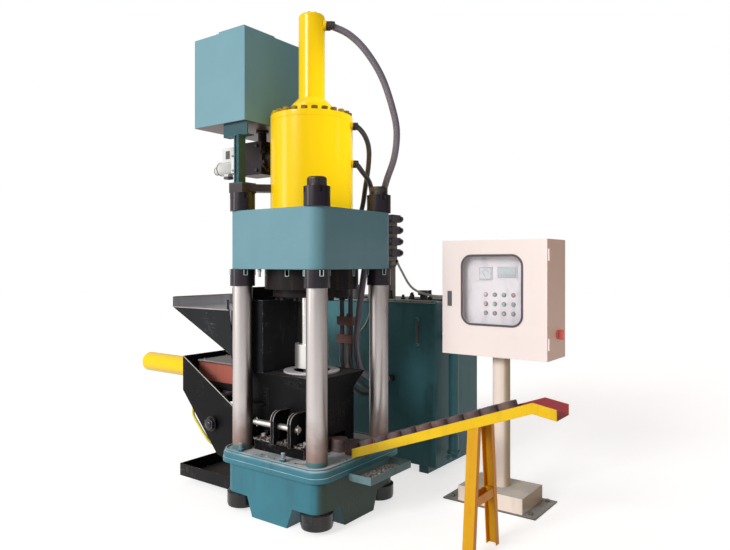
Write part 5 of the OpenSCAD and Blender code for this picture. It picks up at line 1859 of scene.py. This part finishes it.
@dataclass
class Ejector(SubAssembly):
    """Ejector slide and cylinder, with the trays under them."""

    title: str = "ejector and trays"
    trunnion: Pair = (-0.690, 0.482)

    def build(self) -> None:
        """Builds and dresses the sub-assembly."""
        self.dress("ejector_slide", DULL_STEEL)
        self.refine("ejector_cylinder", BLACK, 0.003, "black_steel", segments=2)
        self.refine("oil_tray", TRAY_BLACK, 0.0015, "black_steel", segments=2)
        self.refine("drip_tray", DRIP_TEAL, 0.0012, "teal", segments=2)
        caps = Form()
        for side in (-1, 1):
            x, z = self.trunnion
            caps.bolt((x, side * 0.272, z), (0, side, 0), 0.080, 0.024)
            caps.ball((x, side * 0.296, z), 0.028, (1, 0.45, 1))
        self.add(caps.place("trunnion_nuts"), NUT_BLACK)


@dataclass
class Chute(SubAssembly):
    """Chute, its stand and the briquettes on it."""

    title: str = "chute"
    slope: float = 20.4
    radius: float = 0.055
    height: float = 0.082
    pitch: float = 0.1106
    first_x: float = 0.126
    first_gap: float = 0.026
    in_die: int = 3
    on_slope: int = 10

    def build(self) -> None:
        """Builds and dresses the sub-assembly."""
        self.refine("chute_channel", CHUTE_YELLOW, 0.0012, "yellow", segments=2)
        self.refine("chute_stand", STAND_YELLOW, 0.0015, "yellow", segments=2)
        self._briquettes()

    def _briquettes(self) -> None:
        """Makes each briquette with worn edges and an uneven face."""
        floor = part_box("chute_briquettes")[0].z
        form = Form()
        for k in range(self.in_die):
            foot = Matrix.Translation((self.first_x + k * self.pitch, 0, floor))
            form.joined(self._briquette(foot, k))
        chute_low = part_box("chute_channel")[0]
        start = chute_low.x + self.radius + self.first_gap
        rise = (start - chute_low.x) * math.tan(math.radians(self.slope))
        lean = Matrix.Rotation(-math.radians(self.slope), 4, "Y")
        foot = Matrix.Translation((start, 0, chute_low.z + rise)) @ lean
        lift = 0.005 * math.cos(math.radians(self.slope)) + 0.0001
        for k in range(self.on_slope):
            along = Matrix.Translation((k * self.pitch, 0, lift))
            form.joined(self._briquette(foot @ along, k + self.in_die))
        self.add(form.place("briquettes", 60.0), FINES, slot="briquette", stands_for="chute_briquettes")

    def _briquette(self, where: Matrix, number: int) -> Form:
        """Makes one briquette.

        Args:
            where: the place of its foot, with Z along its axis.
            number: which one it is, so that no two are alike.

        Returns:
            Its form.
        """
        form = Form()
        form.bar((0, 0, 0.0005), (0, 0, self.height - 0.0005), self.radius - 0.0012, 40, 0.004)
        rings = [e for e in form.mesh.edges if abs(e.verts[0].co.z - e.verts[1].co.z) > self.height / 2]
        bmesh.ops.subdivide_edges(form.mesh, edges=rings, cuts=7, use_grid_fill=True)
        form.roughen(0.0011, 60.0, number * 7.3)
        turn = Matrix.Rotation(number * 1.3, 4, "Z")
        return form.moved(where @ turn)


@dataclass
class PrefillTank(SubAssembly):
    """Prefill tank on its supports, the prefill valve and its actuator."""

    title: str = "prefill tank"
    hatch_from: Pair = (0.306, 0.044)
    valve_drop: float = 0.200
    valve_back: float = 0.322
    valve_length: float = 0.212
    flange_circle: float = 0.087
    seam_y: float = 0.3565

    def build(self) -> None:
        """Builds and dresses the sub-assembly."""
        self.refine("prefill_tank", TANK_TEAL, 0.004, "teal")
        self.refine("tank_supports", SHADED_SUPPORT_TEAL, 0.0025, "teal", segments=2)
        self.refine("prefill_valve", VALVE_BROWN, 0.004, "bare_steel", segments=2)
        self.refine("valve_actuator", VALVE_GREY, 0.005, "valve_grey")
        self._hatch()
        self._valve_parts()
        self._seams()

    def _hatch(self) -> None:
        """Adds the bolts of the hatch and a breather cap."""
        low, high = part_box("prefill_tank")
        top = high.z - 0.022
        form = Form()
        first, last = (high.x - back for back in self.hatch_from)
        for k, y in product(range(5), (low.y + 0.034, low.y + 0.336)):
            form.bolt((first + (last - first) * (k / 4), y, top), UP, 0.010, 0.007)
        self.add(form.place("hatch_bolts"), FITTING_ZINC)
        cap = Form()
        spot = Vector((low.x + 0.12, 0.18, high.z - 0.032))
        cap.bar(spot, spot + Vector((0, 0, 0.014)), 0.036, 40, 0.002)
        cap.bar(spot + Vector((0, 0, 0.013)), spot + Vector((0, 0, 0.030)), 0.027, 40, 0.004)
        self.add(cap.place("breather_cap"), BLACK_PLASTIC)

    def _valve_parts(self) -> None:
        """Adds the valve's flange bolts and the actuator's plugs and screws."""
        low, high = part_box("prefill_tank")
        middle = low.z - self.valve_drop
        end = high.x - self.valve_back
        body_end = end + self.valve_length
        form = Form()
        for y, z in around(8, self.flange_circle, 0.5):
            form.bolt((body_end + 0.024, y, middle + z), (1, 0, 0), 0.020, 0.012)
        for x, z in product((end + 0.030, end + 0.170), (middle - 0.085, middle + 0.085)):
            form.bolt((x, -0.082, z), FRONT, 0.022, 0.014)
        self.add(form.place("valve_bolts"), BLACK_FITTING)
        plug = Form()
        plug.block((end - 0.238, -0.027, middle - 0.113), (end - 0.187, 0.027, middle - 0.092), 0.004)
        plug.block((end - 0.205, -0.0355, middle + 0.030), (end - 0.160, -0.030, middle + 0.090), 0.002)
        plug.bar((end - 0.338, 0, middle - 0.043), (end - 0.330, 0, middle - 0.043), 0.032, 24, 0.002)
        plug.ring((end - 0.290, 0, middle - 0.033), (1, 0, 0), 0.044, 0.0515, 0.010, 32)
        self.add(plug.place("actuator_plugs"), BLACK_PLASTIC)
        screws = Form()
        for x, z in product((end - 0.100, end - 0.020), (middle - 0.062, middle + 0.042)):
            screws.bar((x, -0.060, z), (x, -0.068, z), 0.008, 6, 0.001)
        self.add(screws.place("actuator_screws"), FITTING_ZINC)

    def _seams(self) -> None:
        """Adds weld seams at the feet of the supports' struts."""
        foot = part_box("tank_supports")[0].z + 0.066
        for name, y in (("front", -self.seam_y), ("rear", self.seam_y)):
            points = [(-0.365, y, foot + 0.001), (-0.320, y, foot + 0.001)]
            self.weld(f"support_seam_{name}", points, SHADED_SUPPORT_TEAL, 0.004)


@dataclass
class PowerUnit(SubAssembly):
    """Oil tank, valves, motor, pump and cooler behind the press."""

    title: str = "power unit"
    first_valve: float = 0.031
    valve_pitch: float = 0.092
    first_tap: float = 1.66
    tap_pitch: float = 0.11
    filler_xs: Pair = (-0.62, -0.50)
    rim_bolt_xs: tuple[float, ...] = (-0.84, -0.64, -0.46, -0.24, 0.02, 0.16, 0.36)
    fittings: tuple[Pair, ...] = ((0.06, 1.02), (0.11, 1.06), (0.15, 1.01), (-0.06, 1.03), (0.30, 1.03))
    gauge_x: float = 0.229

    def build(self) -> None:
        """Builds and dresses the sub-assembly."""
        self.refine("power_tank", DARK_TEAL, 0.003, "dark_teal", segments=2)
        self.refine("valve_manifold", MANIFOLD_GREY, 0.004, "worn_sheet", segments=2)
        self.refine("solenoid_valves", SOLENOID_CASE, 0.003, "black_plastic", segments=2)
        self.refine("electric_motor", DARK_TEAL, 0.002, "dark_teal", segments=2)
        self.dress("motor_coupling", BRIGHT_STEEL)
        self.refine("oil_pump", BLACK, 0.003, "cast_black", segments=2)
        self.refine("oil_cooler", DARK_TEAL, 0.002, "dark_teal", segments=2)
        self._tank_top()
        self._gauge()
        self._valve_plugs()
        self._cables()

    def _tank_top(self) -> None:
        """Adds the filters, the covers with their bolts, the fittings and the top's worn edge."""
        low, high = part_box("power_tank")
        top = high.z
        filters = Form()
        for x in self.filler_xs:
            filters.bar((x, 1.12, top), (x, 1.12, top + 0.09), 0.055, 40, 0.005)
            filters.bar((x, 1.12, top + 0.088), (x, 1.12, top + 0.115), 0.065, 40, 0.006)
        filters.bar((0.20, 1.10, top), (0.20, 1.10, top + 0.05), 0.030, 32, 0.003)
        filters.bar((0.20, 1.10, top + 0.048), (0.20, 1.10, top + 0.085), 0.046, 32, 0.006)
        self.add(filters.place("tank_filters"), BLACK_PLASTIC)
        cover = Form()
        cover.block((-0.02, 1.22, top), (0.30, 1.52, top + 0.012), 0.002)
        cover.block((-0.84, 1.24, top), (-0.44, 1.56, top + 0.012), 0.002)
        for x in self.rim_bolt_xs:
            cover.bolt((x, low.y + 0.028, top), UP, 0.017, 0.010)
        self.add(cover.place("tank_covers"), DARK_TEAL)
        small = Form()
        for k, (x, y) in enumerate(self.fittings):
            small.bar((x, y, top), (x, y, top + 0.030 + 0.012 * (k % 3)), 0.017, 6, 0.002)
            small.bar((x, y, top + 0.028), (x, y, top + 0.052 + 0.010 * k), 0.011, 20, 0.003)
        self.add(small.place("tank_fittings"), BLACK_FITTING)
        edge = Form().block(
            (low.x + 0.002, low.y - 0.001, top - 0.004), (high.x - 0.002, low.y + 0.003, top + 0.001), 0.001
        )
        self.add(edge.place("tank_top_edge"), EDGE_STEEL)

    def _gauge(self) -> None:
        """Adds the level gauge on the front of the tank."""
        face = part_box("power_tank")[0].y + 0.036
        glass = Form()
        x = self.gauge_x
        glass.block((x - 0.013, face - 0.022, 0.985), (x + 0.013, face - 0.010, 1.160), 0.004)
        self.add(glass.place("level_gauge"), BLACK_PLASTIC)
        ends = Form()
        for z in (0.975, 1.17):
            ends.bar((x, face - 0.030, z), (x, face + 0.002, z), 0.017, 6, 0.002)
        self.add(ends.place("level_gauge_ends"), TEAL)

    def _valve_plugs(self) -> None:
        """Adds the solenoids' connector blocks and fins, and the manifold's plugs."""
        low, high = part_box("solenoid_valves")
        plugs = Form()
        levels = [low.z + self.first_valve + k * self.valve_pitch for k in range(4)]
        for z, y in product(levels, (low.y + 0.008, high.y - 0.036)):
            plugs.block((high.x - 0.030, y, z - 0.012), (high.x + 0.008, y + 0.026, z + 0.014), 0.003)
        self.add(plugs.place("solenoid_plugs"), BLACK_PLASTIC)
        fins = Form()
        for z, turn in product(levels, range(5)):
            spot = (high.x - 0.025, low.y + 0.014 + turn * 0.011, z)
            fins.ring(spot, (0, 1, 0), 0.0245, 0.0285, 0.005, 28)
        self.add(fins.place("solenoid_fins"), SOLENOID_CASE)
        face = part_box("valve_manifold")[0].y
        taps = Form()
        for k in range(3):
            z = self.first_tap + k * self.tap_pitch
            taps.bar((-0.20, face, z), (-0.20, face - 0.022, z), 0.018, 6, 0.002)
            taps.bar((-0.26, face, z + 0.04), (-0.26, face - 0.014, z + 0.04), 0.012, 6, 0.002)
        self.add(taps.place("manifold_plugs"), FITTING_ZINC)

    def _cables(self) -> None:
        """Adds the pale cables that lie on the tank all the way."""
        low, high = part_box("power_tank")
        face = low.y + 0.022
        runs = [
            [(-0.170, low.y - 0.002, high.z - 0.012), (-0.200, face, high.z - 0.040), (-0.250, face, 1.130),
             (-0.330, face, 1.030), (-0.430, face, 0.960), (-0.520, face, 0.930)],
            [(-0.080, 1.000, high.z + 0.008), (0.100, 0.985, high.z + 0.009), (0.250, 0.990, high.z + 0.008),
             (0.395, 0.985, high.z + 0.008)],
        ]
        for number, (points, radius) in enumerate(zip(runs, (0.0055, 0.0075)), 1):
            self.add(tube(f"tank_cable_{number}", curve_through(points, 8), radius), PALE_CABLE)


@dataclass
class ControlCabinet(SubAssembly):
    """Cabinet, its door and window, the panel with its devices, and the pedestal."""

    title: str = "control cabinet"
    lens_radius: float = 0.011
    lamp_edge: float = 0.015
    button_length: float = 0.016
    first_gland: float = 0.12
    gland_pitch: float = 0.06
    scale_marks: int = 11
    needle: float = 122.0

    def build(self) -> None:
        """Builds and dresses the sub-assembly."""
        self.refine("cabinet_body", CREAM, 0.0025, "cream")
        self.refine("cabinet_door", CREAM, 0.004, "cream", "cabinet_door")
        self.refine("window_gasket", GASKET, 0.0020, "rubber", "cabinet_door", 3)
        self.dress("door_window", WINDOW)
        self.refine("door_lock", BLACK_PLASTIC, 0.003, "black_plastic", "door_lock")
        self.refine("control_panel", PANEL_WHITE, 0.001, "cream", segments=2)
        self.refine("isolator_handle", RED_PLASTIC, 0.003, "red_plastic", "isolator_handle")
        self.refine("pedestal", PEDESTAL_PAINT, 0.0025, "cream", segments=2)
        self._lamps()
        self._buttons()
        self._meters()
        self._glands()
        self._anchors()

    def _lamps(self) -> None:
        """Makes the domed lenses of the lamps with their bezels."""
        low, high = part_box("indicator_lamps")
        edge = self.lamp_edge
        columns = [low.x + edge + k * (high.x - low.x - 2 * edge) / 3 for k in range(4)]
        rows = {
            high.z - edge: (PINK_LENS, DARK_GREEN_LENS, GREY_GREEN_LENS, DARK_RED_LENS),
            low.z + edge: (DUSKY_LENS,) * 4,
        }
        dome = [(0.0, 0.0135), (0.006, 0.0125), (0.0095, 0.0098), (0.0108, 0.006), (0.0108, 0.0)]
        bezels = Form()
        node = "indicator_lamps"
        for row, (z, finishes) in enumerate(rows.items(), 1):
            for k, finish in enumerate(finishes):
                bezels.ring((columns[k], high.y, z), FRONT, self.lens_radius, 0.015, 0.006, 32)
                lens = Form().turned(dome, (columns[k], high.y, z), FRONT, 32).place(f"lamp_{row}_{k + 1}")
                self.add(lens, finish, slot="lamp_plastic", stands_for=node)
                node = None
        self.add(bezels.place("lamp_bezels"), FITTING_ZINC)

    def _buttons(self) -> None:
        """Makes the push buttons with rounded caps, and their fixed collars."""
        collars = Form()
        for k in range(1, 5):
            node = f"push_button_{k}"
            finish = RED_CAP if k == 1 else GREEN_CAP
            self.refine(node, finish, 0.0015, "red_plastic" if k == 1 else "lamp_plastic", node)
            low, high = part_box(node)
            middle = (low + high) / 2
            panel = low.y + self.button_length
            collars.ring((middle.x, panel, middle.z), FRONT, 0.0115, 0.0150, 0.007, 32)
        self.add(collars.place("button_collars"), FITTING_ZINC)

    def _meters(self) -> None:
        """Makes the faces of the meter and the display, with a scale and a needle."""
        window = (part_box("door_window")[0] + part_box("door_window")[1]) / 2

        def slab(form: Form, xs: Pair, ys: Pair, zs: Pair, soft: float) -> Form:
            """Returns the form with a plate added, its X and Z measured from the window's middle."""
            corners = [(window.x + x, y, window.z + z) for x, y, z in zip(xs, ys, zs)]
            return form.block(corners[0], corners[1], soft)

        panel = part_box("control_panel")[0].y
        front = panel - 0.0006
        frame = slab(Form(), (-0.108, -0.020), (front - 0.0015, front + 0.001), (0.068, 0.150), 0.001)
        self.add(frame.place("meter_frame"), PALE_FRAME)
        face = slab(Form(), (-0.102, -0.026), (front - 0.0024, front - 0.001), (0.074, 0.144), 0.0005)
        self.add(face.place("meter_face"), METER_FACE)
        marks = Form()
        pivot = Vector((window.x - 0.064, front - 0.0028, window.z + 0.086))

        def ray(degrees: float) -> Vector:
            """Returns the direction of an angle on the scale."""
            return Vector((math.cos(math.radians(degrees)), 0, math.sin(math.radians(degrees))))

        for k in range(self.scale_marks):
            along = ray(150 - 12 * k)
            marks.bar(pivot + along * 0.040, pivot + along * (0.048 if k % 5 else 0.052), 0.0006, 6)
        marks.bar(pivot, pivot + ray(self.needle) * 0.046, 0.0008, 6)
        self.add(marks.place("meter_scale"), BLACK_PLASTIC)
        front = panel + 0.009
        screen = slab(Form(), (0.020, 0.150), (front - 0.0020, front + 0.001), (0.080, 0.150), 0.001)
        self.add(screen.place("display_frame"), PALE_FRAME)
        glass = slab(Form(), (0.026, 0.144), (front - 0.0030, front - 0.001), (0.104, 0.145), 0.0005)
        for k in range(6):
            x = 0.030 + k * 0.019
            slab(glass, (x, x + 0.013), (front - 0.0036, front - 0.001), (0.085, 0.096), 0.0008)
        self.add(glass.place("display_glass"), DISPLAY_GREY)

    def _glands(self) -> None:
        """Adds the cable glands under the cabinet."""
        low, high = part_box("cabinet_body")
        glands = Form()
        for k in range(4):
            x = low.x + self.first_gland + self.gland_pitch * k
            spot = Vector((x, high.y - 0.07, low.z))
            glands.bar(spot, spot - Vector((0, 0, 0.014)), 0.016, 6, 0.002)
            glands.bar(spot - Vector((0, 0, 0.013)), spot - Vector((0, 0, 0.030)), 0.013, 24, 0.003)
        self.add(glands.place("cabinet_glands"), BLACK_PLASTIC)

    def _anchors(self) -> None:
        """Adds the anchor bolts of the floor plate."""
        low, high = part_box("pedestal")
        form = Form()
        for x, y in product((low.x + 0.05, high.x - 0.05), (low.y + 0.05, high.y - 0.05)):
            form.bolt((x, y, 0.010), UP, 0.024, 0.018)
        self.add(form.place("anchor_bolts"), FITTING_ZINC)


@dataclass
class Hoses(SubAssembly):
    """Hoses and the cable, with their ferrules and clamps."""

    title: str = "hoses"
    wall: float = 0.2725
    tank_face: float = 0.960
    behind: float = 0.440
    ejector_top: float = 0.551

    def build(self) -> None:
        """Builds and dresses the sub-assembly."""
        cylinder_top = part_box("main_cylinder")[1].z
        fast_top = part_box("fast_cylinder")[1].z
        tank_face, behind = self.tank_face, self.behind
        self._hose("fast_hose", FAST_HOSE, 0.046, [
            (0.083, 0.036, fast_top - 0.075), (0.125, 0.064, fast_top - 0.081), (0.200, 0.150, 3.119),
            (0.277, 0.230, 3.017), (0.345, 0.320, 2.851), (0.386, 0.390, 2.642), (0.388, 0.436, 2.492),
            (0.351, 0.460, 2.326), (0.284, 0.460, 2.164), (0.216, 0.450, 1.940), (0.136, 0.446, 1.680),
            (0.098, 0.432, 1.440), (0.068, 0.426, 1.200), (0.046, 0.430, 1.000), (0.034, 0.500, 0.830),
            (0.020, 0.660, 0.740), (0.004, 0.820, 0.706), (0.000, tank_face, 0.700),
        ])
        a, b = self._port(22)
        self._hose("cylinder_hose", GREY_HOSE, 0.034, [
            (a, b, cylinder_top - 0.030), (a + 0.034, b + 0.026, cylinder_top - 0.034),
            (0.298, 0.190, 2.440), (0.268, 0.276, 2.370), (0.218, 0.340, 2.264), (0.155, 0.390, 2.128),
            (0.095, 0.432, 1.987), (0.020, behind, 1.800), (-0.060, behind, 1.620),
            (-0.093, behind, 1.400), (-0.093, behind, 1.230), (-0.093, behind, 1.010),
            (-0.093, behind, 0.880), (-0.115, 0.530, 0.720), (-0.160, 0.760, 0.590),
            (-0.180, tank_face, 0.560),
        ])
        a, b = self._port(24)
        self._hose("side_hose", GREY_HOSE, 0.034, [
            (a, b, 2.250), (a + 0.028, b + 0.024, 2.246), (0.262, 0.210, 2.208), (0.250, 0.290, 2.166),
            (0.222, 0.366, 2.118), (0.190, 0.414, 2.040), (0.130, 0.434, 1.900), (0.054, behind, 1.700),
            (-0.004, behind, 1.500), (-0.014, behind, 1.380), (-0.014, behind, 1.230),
            (-0.014, behind, 1.010), (-0.014, behind, 0.880), (-0.026, 0.530, 0.740),
            (-0.052, 0.760, 0.625), (-0.070, tank_face, 0.600),
        ])
        high = self.ejector_top
        self._hose("ejector_hose", YELLOW_HOSE, 0.020, [
            (-0.930, 0.0, high), (-0.938, -0.010, high + 0.042), (-0.985, -0.060, 0.620),
            (-1.056, -0.104, 0.560), (-1.080, -0.110, 0.470), (-1.020, -0.105, 0.390),
            (-0.965, -0.100, 0.330), (-0.900, -0.070, 0.262), (-0.800, 0.020, 0.236),
            (-0.700, 0.180, 0.225), (-0.660, 0.420, 0.220), (-0.680, 0.700, 0.250),
            (-0.700, tank_face, 0.280),
        ])
        self._hose("cabinet_cable", PALE_CABLE, 0.018, [
            (-0.057, 1.100, 1.624), (0.010, 1.070, 1.540), (0.160, 1.010, 1.400), (0.380, 0.985, 1.350),
            (0.600, 1.000, 1.380), (0.700, 1.000, 1.416), (0.720, 0.950, 1.420),
        ])
        self.dress("hose_clamps", HOSE_CLAMP)

    def _port(self, angle: float) -> Pair:
        """Returns where a hose leaves the main cylinder's wall, from its direction in degrees."""
        turn = math.radians(angle)
        return self.wall * math.cos(turn) - 0.003, self.wall * math.sin(turn) - 0.003

    def _hose(self, node: str, finish: Finish, diameter: float, points: Sequence[Point]) -> None:
        """Makes one hose with a ferrule at each end.

        Args:
            node: the frame node that it stands for.
            finish: its cover.
            diameter: its outside diameter.
            points: its route.
        """
        line = curve_through(points, 8)
        piece = tube(f"{node}_run", line, diameter / 2)
        slot = {r["node"]: r["material_slot"] for r in FRAME["record"]["subparts"]}[node]
        self.add(piece, finish, slot=slot, stands_for=node)
        ends = Form()
        radius = diameter / 2
        for start, toward in ((line[0], line[3]), (line[-1], line[-4])):
            along = (toward - start).normalized()
            ends.ring(start + along * radius * 0.4, along, radius * 0.98, radius * 1.22, radius * 1.9, 28)
            ends.ring(start + along * radius * 2.4, along, radius * 0.98, radius * 1.12, radius * 0.5, 28)
        ferrules = self.add(ends.place(f"{node}_ferrules"), BLACK_FITTING)


@dataclass
class Studio(SubAssembly):
    """Camera, lights, world and floor."""

    title: str = "studio"
    eye: Point = (2.855, -3.268, 1.597)
    azimuth: float = 36.46
    lens: float = 32.05
    shift: float = -0.016
    sunward: Point = (-0.12, -0.90, 0.42)
    sun_strength: float = 2.2
    sun_width: float = 22.0
    fill: float = 0.37

    def aim(self) -> None:
        """Makes the camera."""
        data = bpy.data.cameras.new("camera")
        data.sensor_width = 36.0
        data.lens = self.lens
        data.shift_y = self.shift
        camera = shown("camera", data)
        camera.location = self.eye
        camera.rotation_euler = (math.radians(90), 0, math.radians(self.azimuth))
        bpy.context.scene.camera = camera

    def light(self) -> None:
        """Makes the lights and the world."""
        sun = bpy.data.lights.new("sun", "SUN")
        sun.energy = self.sun_strength
        sun.angle = math.radians(self.sun_width)
        lamp = shown("sun", sun)
        lamp.rotation_euler = Vector(self.sunward).to_track_quat("Z", "Y").to_euler()
        self._softbox(
            "reflector", place=(-4.0, -5.0, 2.6), target=(0.0, 0.0, 1.5), width=1.6, height=3.2,
            watts=60.0, spread=180.0,
        )
        side_lamp = self._softbox(
            "cylinder_light", place=(4.2, 2.2, 3.6), target=(0.0, -0.05, 2.46), width=1.2, height=1.2,
            watts=4.5, spread=12.0,
        )
        side_lamp.visible_glossy = False
        lit = bpy.data.collections.new("lit_from_the_side")
        for name in ("main_cylinder", "fast_cylinder_body", "cover_bolt_heads", "port_bosses"):
            lit.objects.link(bpy.data.objects[name])
        side_lamp.light_linking.receiver_collection = lit
        world = bpy.data.worlds.new("studio_world")
        bpy.context.scene.world = world
        world.use_nodes = True
        world.node_tree.nodes.clear()
        graph = Graph(world.node_tree)
        path = graph.node("ShaderNodeLightPath")
        seen = graph.math("MAXIMUM", path.outputs["Is Camera Ray"], path.outputs["Is Transmission Ray"])
        toward = graph.node("ShaderNodeTexCoord").outputs["Generated"]
        mirrored = graph.smooth(graph.axis("X", toward), -0.35, 0.4, (0.60, 0.10))
        glossy = path.outputs["Is Glossy Ray"]
        plain = graph.times(graph.math("SUBTRACT", 1.0, glossy), self.fill)
        unseen = graph.plus(plain, graph.times(glossy, mirrored))
        unseen = graph.times(graph.math("SUBTRACT", 1.0, seen), unseen)
        strength = graph.plus(seen, unseen)
        tint = graph.mix(seen, (1.10, 0.99, 0.92), (1.0, 1.0, 1.0))
        back = graph.node("ShaderNodeBackground", {"Color": tint, "Strength": strength})
        output = graph.node("ShaderNodeOutputWorld")
        graph.feed(output.inputs["Surface"], back.outputs[0])

    def _softbox(
        self, name: str, place: Point, target: Point, width: float, height: float, watts: float,
        spread: float,
    ) -> bpy.types.Object:
        """Makes one area light.

        Args:
            name: its name.
            place: where it stands.
            target: what it faces.
            width: its width.
            height: its height.
            watts: its power.
            spread: how wide it shines, in degrees.

        Returns:
            The light.
        """
        data = bpy.data.lights.new(name, "AREA")
        data.shape = "RECTANGLE"
        data.size = width
        data.size_y = height
        data.energy = watts
        data.spread = math.radians(spread)
        lamp = shown(name, data)
        lamp.location = place
        lamp.rotation_euler = (Vector(target) - Vector(place)).to_track_quat("-Z", "Y").to_euler()
        return lamp

    def floor(self) -> None:
        """Makes the floor."""
        form = Form()
        bmesh.ops.create_grid(form.mesh, x_segments=2, y_segments=2, size=30.0)
        ground = form.place("stage_floor")
        ground.data.materials.append(PAPER.material())

    def settings(self) -> None:
        """Sets the plain view transform."""
        bpy.context.scene.view_settings.view_transform = "Standard"


def main() -> None:
    """Builds the press on its frame and reports each piece."""
    logging.basicConfig(level=logging.INFO, format="%(name)s: %(message)s")
    FRAME.update(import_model())
    studio = Studio()
    studio.settings()
    studio.aim()
    assemblies = [
        Hoses(), PressFrame(), MainCylinder(), DieBlock(), Feed(), Ejector(), Chute(), PrefillTank(),
        PowerUnit(), ControlCabinet(),
    ]
    for assembly in assemblies:
        assembly.build()
        assembly.report()
    studio.light()
    studio.floor()


if __name__ == "__main__":
    main()
